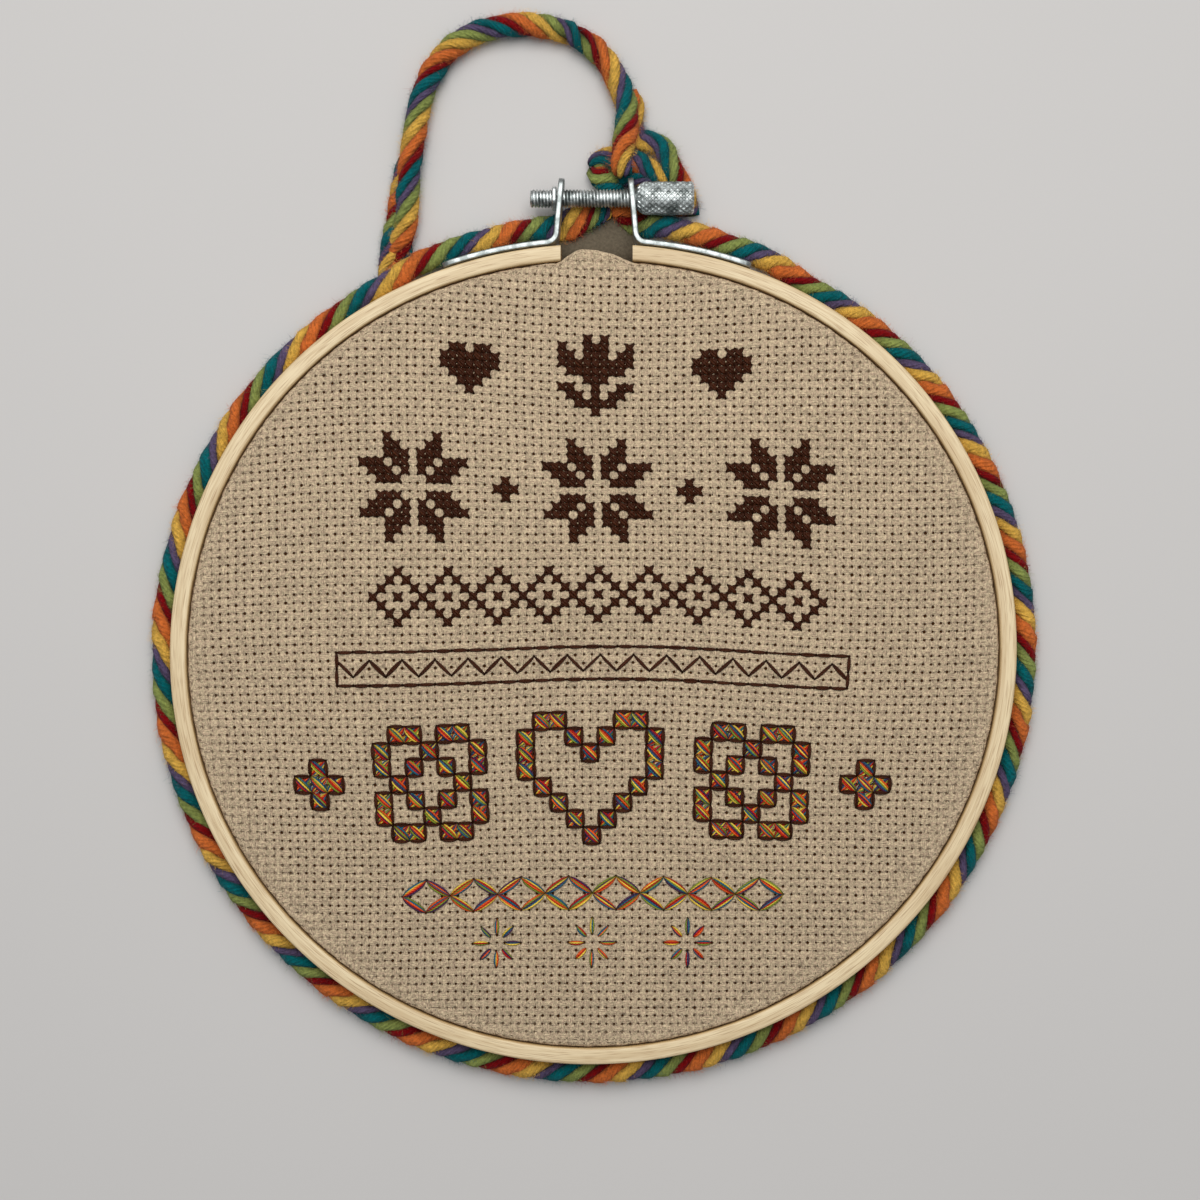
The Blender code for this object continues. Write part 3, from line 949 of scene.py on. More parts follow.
@dataclass
class BentStrip:
    """A bent strip on the ring's outside whose upright end carries the screw."""

    name: str
    node: str
    tip: float
    foot_x: float
    head_x: float
    thickness: float = 1.2 * MM
    half_width: float = 3.6 * MM
    middle_z: float = 6.2 * MM
    corner: float = 2.2 * MM
    bend: float = 2.4 * MM
    top_y: float = 103.8 * MM
    ring_outside: float = 92.8 * MM
    edge: float = 0.28 * MM
    screw_y: float = 99.6 * MM
    hole: float = 2.2 * MM
    bore_length: float = 8 * MM
    tip_round: float = 1.2 * MM
    tip_share: float = 1 / 18
    least_step: float = 0.05 * MM

    def line(self) -> Array:
        """The strip's middle line about the hoop's centre: along the ring, round the bend and up.

        Returns:
            x and y of its points.
        """
        side = 1 if self.foot_x > 0 else -1
        middle = GAP + self.thickness / 2
        top = self.ring_outside * float(OUTLINE.factor(SCREW_SIDE))
        bend_start = SCREW_SIDE - math.asin((self.foot_x + side * self.bend) / top)
        angle = np.linspace(self.tip, bend_start, 40)
        on_ring = (OUTLINE.at(self.ring_outside, angle, 0.0, middle) - HOOP_CENTRE)[:, :2]
        turn = np.linspace(0, math.pi / 2, 13)[1:]
        hub = on_ring[-1] + (0.0, self.bend)
        bent = hub + self.bend * np.stack([-side * np.sin(turn), -np.cos(turn)], axis=1)
        start = bent[-1]
        rise = self.top_y - start[1]
        lug_end = np.array((start[0] + (self.head_x - self.foot_x), self.top_y))
        up = start + (lug_end - start) * np.linspace(0, 1, 25)[1:, None]
        near_top = 1 - self.corner / rise * (1 - np.sin(np.linspace(0, math.pi / 2, 9)))
        fine = start + (lug_end - start) * near_top[:, None]
        up = np.concatenate([up[up[:, 1] < self.top_y - self.corner - self.least_step], fine])
        return np.concatenate([on_ring, bent, up])

    def build(self, finish: Material) -> Object:
        """The strip's mesh, with its rounded head and hole.

        Args:
            finish: zinc.

        Returns:
            The placed strip.
        """
        line = self.line()
        way = along_lines(line)
        across = np.stack([-way[:, 1], way[:, 0]], axis=1)
        from_top = np.maximum(self.corner - (self.top_y - line[:, 1]), 0.0)
        half = self.half_width - self.corner + np.sqrt(np.maximum(self.corner**2 - from_top**2, 0.0))
        from_tip = np.clip(np.linspace(0, 1, len(line)) / self.tip_share, 0, 1)
        half = np.minimum(half, self.half_width - self.tip_round * (1 - np.sqrt(1 - (1 - from_tip) ** 2)))
        section = rounded_section(-1.0, 1.0, -1.0, 1.0, 0.0, 0)
        ring = []
        for corner_x, corner_z in section:
            for turn in np.linspace(-math.pi / 4, math.pi / 4, 4) + math.atan2(corner_z, corner_x):
                ring.append((corner_x, corner_z, math.cos(turn), math.sin(turn)))
        ring = np.array(ring)
        thick = self.thickness / 2 - self.edge
        offset = ring[:, 0] * thick + ring[:, 2] * self.edge
        up = ring[:, 1] * (half[:, None] - self.edge) + ring[:, 3] * self.edge
        points = np.zeros((len(line), len(ring), 3))
        points[..., :2] = line[:, None, :] + across[:, None, :] * offset[None, :, None]
        points[..., 2] = self.middle_z + up
        points += HOOP_CENTRE
        lay = stacked(distances(line)[:, None], np.linspace(0, 1, len(ring) + 1))
        book = Layout()
        book.add_grid(points, lay)
        mesh = turned_out(book.mesh(self.name, [finish]))
        made = Piece(self.name, slot="zinc", replaces=(self.node,), sharp=35).place(mesh)
        self.drill(made)
        return made

    def drill(self, strip: Object) -> None:
        """Cut the shank's hole through the lug.

        Args:
            strip: the strip, changed in place.
        """
        form = bmesh.new()
        bmesh.ops.create_cone(
            form, cap_ends=True, segments=48, radius1=self.hole, radius2=self.hole, depth=self.bore_length
        )
        middle = Vector(HOOP_CENTRE) + Vector((self.head_x, self.screw_y, self.middle_z))
        stand = Matrix.Translation(middle) @ Matrix.Rotation(math.radians(90), 4, "Y")
        bmesh.ops.transform(form, matrix=stand, verts=form.verts)
        bore_mesh = bpy.data.meshes.new("bore")
        form.to_mesh(bore_mesh)
        form.free()
        bore = linked("bore", bore_mesh)
        cut = strip.modifiers.new("bore", "BOOLEAN")
        cut.object = bore
        cut.solver = "EXACT"
        depsgraph = bpy.context.evaluated_depsgraph_get()
        bored = bpy.data.meshes.new_from_object(strip.evaluated_get(depsgraph))
        strip.modifiers.clear()
        strip.data = bored
        bored.name = strip.name
        bpy.data.objects.remove(bore)


@dataclass
class Thumbscrew:
    """The M4 screw with its knurled knob, in one piece, along X."""

    axis_y: float = 99.6 * MM
    axis_z: float = 6.2 * MM
    radius: float = 2.0 * MM
    thread_depth: float = 0.34 * MM
    pitch: float = 0.736 * MM
    start_x: float = -13.7 * MM
    knob_x: float = 9.7 * MM
    shoulder_x: float = 11.6 * MM
    end_x: float = 22.4 * MM
    neck: float = 2.45 * MM
    knob_radius: float = 3.65 * MM
    knurl_depth: float = 0.5 * MM
    diamonds: int = 16
    rows: int = 9
    thread_sides: int = 40
    thread_steps: int = 8
    knurl_steps: int = 10
    rim: float = 0.25 * MM
    # Painted shade in the knurl's pits and the thread's grooves, as shares of full brightness.
    valley_shade: float = 0.76
    thread_valley_shade: float = 0.6

    def in_place(self, x: Array, far: Array, angle: Array) -> Array:
        """Points at a distance from the screw's axis."""
        y, z = self.axis_y + far * np.cos(angle), self.axis_z + far * np.sin(angle)
        return stacked(x, y, z) + HOOP_CENTRE

    def shank(self, book: Layout) -> None:
        """The thread, as rows that follow its helix.

        Args:
            book: where the grid goes.
        """
        samples = self.thread_steps
        end = self.knob_x + 0.4 * MM
        turns = math.ceil((end - self.start_x) / self.pitch) + 2
        row = np.arange(-samples, (turns + 1) * samples)
        column = np.arange(self.thread_sides)
        free_x = self.start_x + self.pitch * (row[:, None] / samples + column / self.thread_sides - 1)
        wave = (row[:, None] % samples) / samples
        ridge = np.clip(np.abs(wave * 2 - 1) * 1.7 - 0.2, 0, 1)
        far = self.radius - self.thread_depth * (1 - ridge)
        x = np.clip(free_x, self.start_x, end)
        from_start = x - self.start_x
        far = np.minimum(far, self.radius - self.thread_depth * 0.9 + from_start)
        past = np.maximum(self.start_x - free_x, free_x - end) / self.pitch
        far = far * np.clip(1 - 1.02 * np.maximum(past, 0.0), 0.0, 1.0)
        points = self.in_place(x, far, math.tau * column / self.thread_sides)
        # Painted shade, darkest in the thread's grooves.
        dark = self.thread_valley_shade + (1 - self.thread_valley_shade) * np.broadcast_to(ridge, far.shape)
        numbers = book.add_points(points, np.repeat(dark[..., None], 3, axis=-1))
        wrapped = np.concatenate([numbers[:-samples], numbers[samples:, :1]], axis=1)
        corners = stacked(wrapped[:-1, :-1], wrapped[:-1, 1:], wrapped[1:, 1:], wrapped[1:, :-1])
        corners = corners.reshape(-1, 4)
        book.add_faces(corners, np.zeros((len(corners), 4, 2)))

    def knob(self, book: Layout) -> None:
        """The knob, with a tapered shoulder and a diamond knurl.

        Args:
            book: where the grid goes.
        """
        fine = self.knurl_steps
        columns = self.diamonds * fine
        body = np.linspace(self.knob_x + 0.2 * MM, self.end_x - self.rim, self.rows * fine + 1)
        column = np.arange(columns)
        angle = math.tau * column / columns
        row = np.arange(len(body))[:, None]
        one = np.abs(((row + column) / fine) % 1.0 - 0.5) * 2
        two = np.abs(((row - column) / fine) % 1.0 - 0.5) * 2
        net = np.clip(np.maximum(one, two) * 2.2 - 1.2, 0, 1)
        into = np.clip((self.end_x - body[:, None]) / (2 * self.rim), 0, 1)
        rise = np.clip((body[:, None] - self.knob_x) / (self.shoulder_x - self.knob_x), 0, 1)
        cone = (self.knob_radius - self.neck) * (1 - rise) ** 1.4
        cut = self.knurl_depth * (1 - net) * np.minimum(rise + 0.25, 1)
        far = self.knob_radius - cone - cut - self.rim * (1 - into)
        first = (1.5 * MM, self.neck - 0.35 * MM)
        last = (self.knob_radius - 0.75 * MM, self.knob_radius - 1.6 * MM)
        points = [self.in_place(self.knob_x, out, angle)[None] for out in first]
        points.append(self.in_place(body[:, None], far, angle))
        points += [self.in_place(self.end_x, out, angle)[None] for out in last]
        points = np.concatenate(points)
        lay = np.zeros((len(points), columns + 1, 2))
        # Painted shade, darkest in the knurl's pits.
        dark = np.pad(self.valley_shade + (1 - self.valley_shade) * net, ((2, 2), (0, 0)), constant_values=1.0)
        book.add_grid(points, lay, tint=np.repeat(dark[..., None], 3, axis=-1))

    def build(self, finish: Material) -> Object:
        """The screw.

        Args:
            finish: zinc.

        Returns:
            The placed screw.
        """
        book = Layout()
        self.shank(book)
        self.knob(book)
        mesh = turned_out(book.mesh("thumbscrew_threaded", [finish]), join=True)
        return Piece("thumbscrew_threaded", SCREW, "zinc", ("thumbscrew",), sharp=32).place(mesh)


@dataclass
class SmallNut:
    """The small nut on the left lug's outer side."""

    start_x: float = -8.85 * MM
    end_x: float = -7.9 * MM
    half_flat: float = 2.62 * MM
    bore: float = 2.06 * MM
    turn: float = math.radians(15)
    corner: float = 1.1
    outer: Rows = ((-1, 0.26), (-0.72, 0.06), (-0.4, 0.0), (0.4, 0.0), (0.72, 0.06), (1, 0.26))
    inner: tuple[float, ...] = (1, 0.8, -0.8, -1)
    sides: int = 96

    def build(self, screw: Thumbscrew, finish: Material) -> Object:
        """The nut.

        Args:
            screw: the screw that it is on.
            finish: zinc.

        Returns:
            The placed nut.
        """
        angle = math.tau * np.arange(self.sides) / self.sides
        side = (angle + self.turn) % math.radians(60) - math.radians(30)
        flat = np.minimum(self.half_flat / np.cos(side), self.half_flat * self.corner)
        middle = (self.start_x + self.end_x) / 2
        half = (self.end_x - self.start_x) / 2
        rings = []
        for share, shrink in self.outer:
            rings.append(screw.in_place(middle + share * half, flat - shrink * MM, angle))
        for share in self.inner:
            rings.append(screw.in_place(middle + share * half, np.full(self.sides, self.bore), angle))
        rings.append(rings[0])
        points = np.stack(rings)
        book = Layout()
        book.add_grid(points, np.zeros((len(points), self.sides + 1, 2)), caps=False)
        mesh = turned_out(book.mesh("small_nut", [finish]), join=True)
        return Piece("small_nut", slot="zinc", replaces=("nut",), sharp=40).place(mesh)


# The cloth and its stitches --------------------


@dataclass(frozen=True)
class Weave:
    """Where the weave's holes lie: block (0, 0) starts at the hoop's middle, and the rows wave a little."""

    block: float = 1.792 * MM
    top: float = 9.7 * MM
    spread_upward: float = 0.00046
    row_share: float = 0.998
    row_growth: float = 0.0002
    sag: float = 0.5 * MM
    swell_height: float = 0.12 * MM

    def flat(self, u: Array, v: Array) -> tuple[Array, Array]:
        """The place of a point of the weave, about the hoop's centre.

        Args:
            u, v: blocks to the right and up.

        Returns:
            x and y in metres.
        """
        u, v = np.asarray(u, float), np.asarray(v, float)
        x = self.block * u * (1 + self.spread_upward * v)
        x = x + MM * (0.9 * np.sin(v / 15 + 0.4) * np.sin(u / 24 + 0.3) + 0.35 * np.sin(v / 6.5 + u / 30))
        y = self.block * v * (self.row_share + self.row_growth * v)
        wave = 0.9 * np.sin(u / 13 + v / 19 + 1.9) + 0.5 * np.sin(u / 7.5 - v / 16 + 0.6)
        y = y + MM * wave * (0.75 + 0.45 * np.clip(v / 45, -1, 1)) - self.sag * (u / 40) ** 2
        return x, y

    def at(self, u: Array, v: Array, lift: Array = 0.0) -> Array:
        """Points of the weave in the part's frame.

        Args:
            u, v: blocks to the right and up.
            lift: height above the cloth.

        Returns:
            The points.
        """
        x, y = self.flat(u, v)
        z = self.top + self.swell(x, y) + lift
        return stacked(x, y, z) + HOOP_CENTRE

    def swell(self, x: Array, y: Array) -> Array:
        """The low, slow waves of the stretched cloth."""
        return self.swell_height * (np.sin(x / (21 * MM) + 1.1) * np.cos(y / (26 * MM)) - 0.6)


@dataclass
class EvenWeaveCloth:
    """The cloth: one sheet over the inner ring, with its weave's holes, and its edge between the rings."""

    weave: Weave
    outside: float = 88.9 * MM
    hem_z: float = 0.4 * MM
    hem_turn: float = 1.0 * MM
    hem_round: float = 0.75
    hem_overlap: float = 0.5 * MM
    hem_dip: float = 0.06 * MM
    ring_gap: float = 0.02 * MM
    edge_fade: float = 1.2 * MM
    hole_depth: float = 0.55 * MM
    seam_depth: float = 0.015 * MM
    shoulder: float = 0.2
    reach: int = 54
    bulge: float = 2.7 * MM
    bulge_sides: tuple[float, float] = (math.radians(3.6), math.radians(7.0))
    bulge_turn: float = math.radians(91.2)
    rim_steps: int = 480
    # Painted shade in the gap under the outer ring.
    gap_shade_tint: Colour = (0.32, 0.16, 0.06)
    tail_sides: tuple[float, float] = (-7.6 * MM, 9.4 * MM)
    tail_y: tuple[float, float] = (86.4 * MM, 97.2 * MM)

    def puff(self, angle: Array) -> Array:
        """How far the cloth puffs out through the split.

        Args:
            angle: angle about the hoop's centre.

        Returns:
            The distance in metres.
        """
        away = angle_from(angle, self.bulge_turn)
        share = np.clip(away / np.where(away > 0, *self.bulge_sides), -1, 1)
        return self.bulge * np.cos(share * math.pi / 2)

    def face(self, book: Layout) -> None:
        """The flat face, three by three cells a block, kept within the turned edge.

        Args:
            book: where the grid goes.
        """
        blocks = np.arange(-self.reach, self.reach)
        marks = stacked(blocks, blocks + self.shoulder, blocks + 1 - self.shoulder).ravel()
        kinds = np.tile([0, 1, 1], 2 * self.reach)
        u, v = np.meshgrid(marks, marks, indexing="ij")
        kind_u, kind_v = np.meshgrid(kinds, kinds, indexing="ij")
        hole = (kind_u == 0) & (kind_v == 0)
        seam = (kind_u == 0) ^ (kind_v == 0)
        large = (np.round(u) + np.round(v)) % 2
        lift = -self.hole_depth * hole * (0.75 + 0.25 * large) - self.seam_depth * seam
        points = self.weave.at(u, v, lift)
        x, y = points[..., 0] - HOOP_CENTRE[0], points[..., 1] - HOOP_CENTRE[1]
        angle, far = np.arctan2(y, x), np.hypot(x, y)
        limit = (self.outside - self.hem_turn) * OUTLINE.factor(angle) + self.puff(angle)
        near_edge = np.clip((limit - far) / self.edge_fade, 0, 1)
        points[..., 2] -= lift * (1 - near_edge)
        outside = far > limit
        scale = np.where(outside, limit / far, 1.0)
        points[..., 0] = x * scale + HOOP_CENTRE[0]
        points[..., 1] = y * scale + HOOP_CENTRE[1]
        edge_z = self.weave.top + self.weave.swell(x * scale, y * scale)
        points[..., 2] = np.where(outside, edge_z, points[..., 2])
        beyond = far > limit + 1.35 * self.weave.block
        edge_u, edge_v = u * scale, v * scale
        kept = ~(outside[:-1, :-1] & outside[:-1, 1:] & outside[1:, 1:] & outside[1:, :-1])
        kept &= ~(beyond[:-1, :-1] | beyond[:-1, 1:] | beyond[1:, 1:] | beyond[1:, :-1])
        numbers = np.arange(u.size).reshape(u.shape)
        corners = stacked(numbers[:-1, :-1], numbers[1:, :-1], numbers[1:, 1:], numbers[:-1, 1:])[kept]
        used, corners_used = np.unique(corners, return_inverse=True)
        added = book.add_points(points.reshape(-1, 3)[used], (1.0, 1.0, 1.0))
        lay = stacked(edge_u, edge_v).reshape(-1, 2)[corners]
        book.add_faces(added[corners_used.reshape(corners.shape)], lay)

    def edge(self, book: Layout) -> None:
        """The turned edge and the part between the rings.

        Args:
            book: where the grid goes.
        """
        angle = np.linspace(0, math.tau, self.rim_steps + 1)
        turn = np.linspace(0, math.pi / 2, 7)
        turned_in = self.hem_turn - self.hem_turn * np.sin(turn)
        inset = np.concatenate([[self.hem_turn + self.hem_overlap], turned_in, [0.0] * 8])
        round_it = self.hem_turn * self.hem_round * (1 - np.cos(turn))
        down = np.linspace(self.hem_turn * self.hem_round, self.weave.top - self.hem_z, 9)[1:]
        drop = np.concatenate([[self.hem_dip], round_it, down])
        ripple = 1 + 0.0006 * np.sin(angle * 150) + 0.0005 * np.sin(angle * 67 + 1)
        far = self.outside - inset[:, None] - self.ring_gap
        puff = self.puff(angle) * (1 - 0.25 * (drop[:, None] / (8 * MM)))
        out = far * ripple * OUTLINE.factor(angle) + puff
        x, y = out * np.cos(angle), out * np.sin(angle)
        z = self.weave.top - drop[:, None] + self.weave.swell(x, y) * (drop[:, None] < 0.5 * MM)
        points = stacked(x, y, z) + HOOP_CENTRE
        over = (far + drop[:, None]) / self.weave.block
        lay = stacked(over * np.cos(angle), over * np.sin(angle))
        # Painted shade: the turned edge darkens to brown in the narrow gap under the outer ring, though not
        # in the split.
        shade = np.clip((inset - 0.01 * MM) / (0.25 * MM), 0.0, 1.0)
        shade = np.where(drop > self.hem_turn * self.hem_round * 1.01, 1.0, shade)[:, None, None]
        in_split = (np.abs(angle[:-1] - self.bulge_turn) < self.bulge_sides[1] * 1.1)[None, :, None]
        tint = np.where(in_split, 1.0, np.array(self.gap_shade_tint) * (1 - shade) + shade)
        book.add_grid(points[:, :-1], lay, tint=tint, caps=False)

    def tail(self, book: Layout) -> None:
        """The trimmed tail of the cloth that lies in the split, below the cords, in a plain finish of painted
        shade.

        Args:
            book: where the grid goes.
        """
        left, right = self.tail_sides
        near_y, end_y = self.tail_y
        share = np.linspace(0, 1, 25)
        x = (left + (right - left) * share)[:, None]
        ragged = 0.25 * np.sin(share * 47) + 0.2 * np.sin(share * 91 + 1)
        far_y = (end_y + ragged * MM)[:, None]
        forward = np.array((0.0, 0.0, 0.35, 0.7, 1.0, 1.0))
        y = near_y + (far_y - near_y) * forward
        wave = 0.12 * MM * np.sin(share * 9)[:, None]
        z = np.array((0.05, 0.75, 0.62, 0.5, 0.42, 0.05)) * MM + wave * np.array((0, 1, 1, 1, 1, 0))
        points = stacked(x, y, z) + HOOP_CENTRE
        book.add_grid(points, np.zeros((*points.shape[:2], 2)), closed=False, slot=1)

    def build(self, finishes: Sequence[Material]) -> Object:
        """The cloth.

        Args:
            finishes: the linen, then the tail's plain finish of painted shade.

        Returns:
            The placed cloth.
        """
        book = Layout()
        self.face(book)
        self.edge(book)
        self.tail(book)
        mesh = book.mesh("cloth_even_weave", finishes)
        return Piece("cloth_even_weave", slot="cloth", replaces=("cloth",)).place(mesh)


@dataclass
class Stitcher:
    """Strands of thread laid from hole to hole of the weave, gathered into one piece."""

    name: str
    weave: Weave
    seed: int
    width: float
    height: float
    sides: int = 6
    places: tuple[float, ...] = (0.0, 0.07, 0.2, 0.4, 0.6, 0.8, 0.93, 1.0)
    rise: tuple[float, ...] = (-1.0, -0.1, 0.75, 1.0, 1.0, 0.75, -0.1, -1.0)
    fan: tuple[float, ...] = (0.0, 0.35, 0.8, 1.0, 1.0, 0.8, 0.35, 0.0)
    swell: tuple[float, ...] = (0.5, 0.75, 0.95, 1.0, 1.0, 0.95, 0.75, 0.5)
    # deep is painted shade along a strand, darkest where it dives into its holes; the next value is painted
    # shade on the strand's lower side.
    deep: tuple[float, ...] = (0.3, 0.45, 0.8, 1.0, 1.0, 0.8, 0.45, 0.3)
    underside_shade: float = 0.28
    sink: float = 0.3 * MM
    hole_z: float = 0.1 * MM
    lift_spread: float = 0.12
    thick_spread: float = 0.08
    tone_spread: float = 0.1
    wander: float = 0.05 * MM
    starts: list[Spot] = field(default_factory=list)
    ends: list[Spot] = field(default_factory=list)
    offsets: list[float] = field(default_factory=list)
    lifts: list[float] = field(default_factory=list)
    shades: list[Colour] = field(default_factory=list)

    def lay(self, start: Spot, end: Spot, shades: Sequence[Shade], spread: float, lift: float) -> None:
        """Lay one stitch of one or more strands side by side.

        Args:
            start, end: its two holes.
            shades: one colour for each strand.
            spread: the width that the strands fan out to.
            lift: height of the strands' middle above the cloth.
        """
        count = len(shades)
        for number, shade in enumerate(shades):
            offset = 0.0 if count == 1 else spread * (number / (count - 1) - 0.5)
            self.starts.append(start)
            self.ends.append(end)
            self.offsets.append(offset)
            self.lifts.append(lift)
            self.shades.append(shade.value)

    def build(self, finish: Material) -> Object:
        """All the strands as one piece.

        Args:
            finish: the floss.

        Returns:
            The placed piece.
        """
        draw = np.random.default_rng(self.seed)
        count = len(self.starts)
        share, rise = np.array(self.places), np.array(self.rise)
        starts, ends = np.array(self.starts), np.array(self.ends)
        uv = starts[:, None] + (ends - starts)[:, None] * share[:, None]
        lift = np.array(self.lifts)[:, None] * (1 + self.lift_spread * draw.standard_normal((count, 1)))
        height = np.where(rise > 0, rise * lift, self.hole_z + rise * self.sink)
        points = self.weave.at(uv[..., 0], uv[..., 1], height)
        way = along_lines(points)
        side = unit(np.cross(way, (0.0, 0.0, 1.0)))
        up = np.cross(side, way)
        wander = self.wander * draw.standard_normal((count, 1))
        offset = (np.array(self.offsets)[:, None] + wander) * self.fan
        points = points + side * offset[..., None]
        swell = np.array(self.swell) * (1 + self.thick_spread * draw.standard_normal((count, 1)))
        turn = math.tau * np.arange(self.sides) / self.sides
        rings = (
            points[:, :, None]
            + side[:, :, None] * (np.cos(turn) * self.width / 2 * swell[..., None])[..., None]
            + up[:, :, None] * (np.sin(turn) * self.height / 2 * swell[..., None])[..., None]
        )
        length = np.linalg.norm(points[:, -1] - points[:, 0], axis=-1)
        along = length[:, None, None] * share[:, None] + draw.random((count, 1, 1))
        lay = stacked(along, np.linspace(0, 1, self.sides + 1))
        tone = 1 + self.tone_spread * draw.standard_normal((count, 1))
        # Painted shade: darker towards the strand's ends and on its underside.
        tint = (np.array(self.shades) * tone)[:, None, None, :]
        underside_shade = 1 - self.underside_shade + self.underside_shade * np.sin(turn)
        tint = tint * (np.array(self.deep)[:, None] * underside_shade)[None, :, :, None]
        book = Layout()
        book.add_grid(rings, lay, tint=np.broadcast_to(tint, rings.shape))
        return Piece(self.name, slot="yarn").place(turned_out(book.mesh(self.name, [finish])))


class Motif(Enum):
    """Traditional motifs, drawn in blocks, from the top row down."""

    SMALL_HEART = (".##.##.", "#######", "#######", ".#####.", "..###..", "...#...")
    TULIP = (
        "...#.#...",
        "#..###..#",
        "##.###.##",
        "#########",
        ".#######.",
        "...###...",
        "##..#..##",
        ".##.#.##.",
        "..#####..",
        "....#....",
    )
    LITTLE_CROSS = (".#.", "###", ".#.")
    HEART_LINE = (
        ".##...##.",
        "#..#.#..#",
        "#...#...#",
        "#.......#",
        ".#.....#.",
        "..#...#..",
        "...#.#...",
        "....#....",
    )
    FLOWER = (".##.##.", "#..#..#", "#.#.#.#", ".#...#.", "#.#.#.#", "#..#..#", ".##.##.")

    def blocks(self, left: float, top: float, size: int = 1) -> list[Spot]:
        """The lower left corners of the motif's filled blocks.

        Args:
            left, top: the motif's upper left corner.
            size: how many blocks of the weave one block of the motif is.

        Returns:
            The corners.
        """
        found = []
        for row, line in enumerate(self.value):
            for column, mark in enumerate(line):
                if mark == "#":
                    found.append((left + column * size, top - (row + 1) * size))
        return found


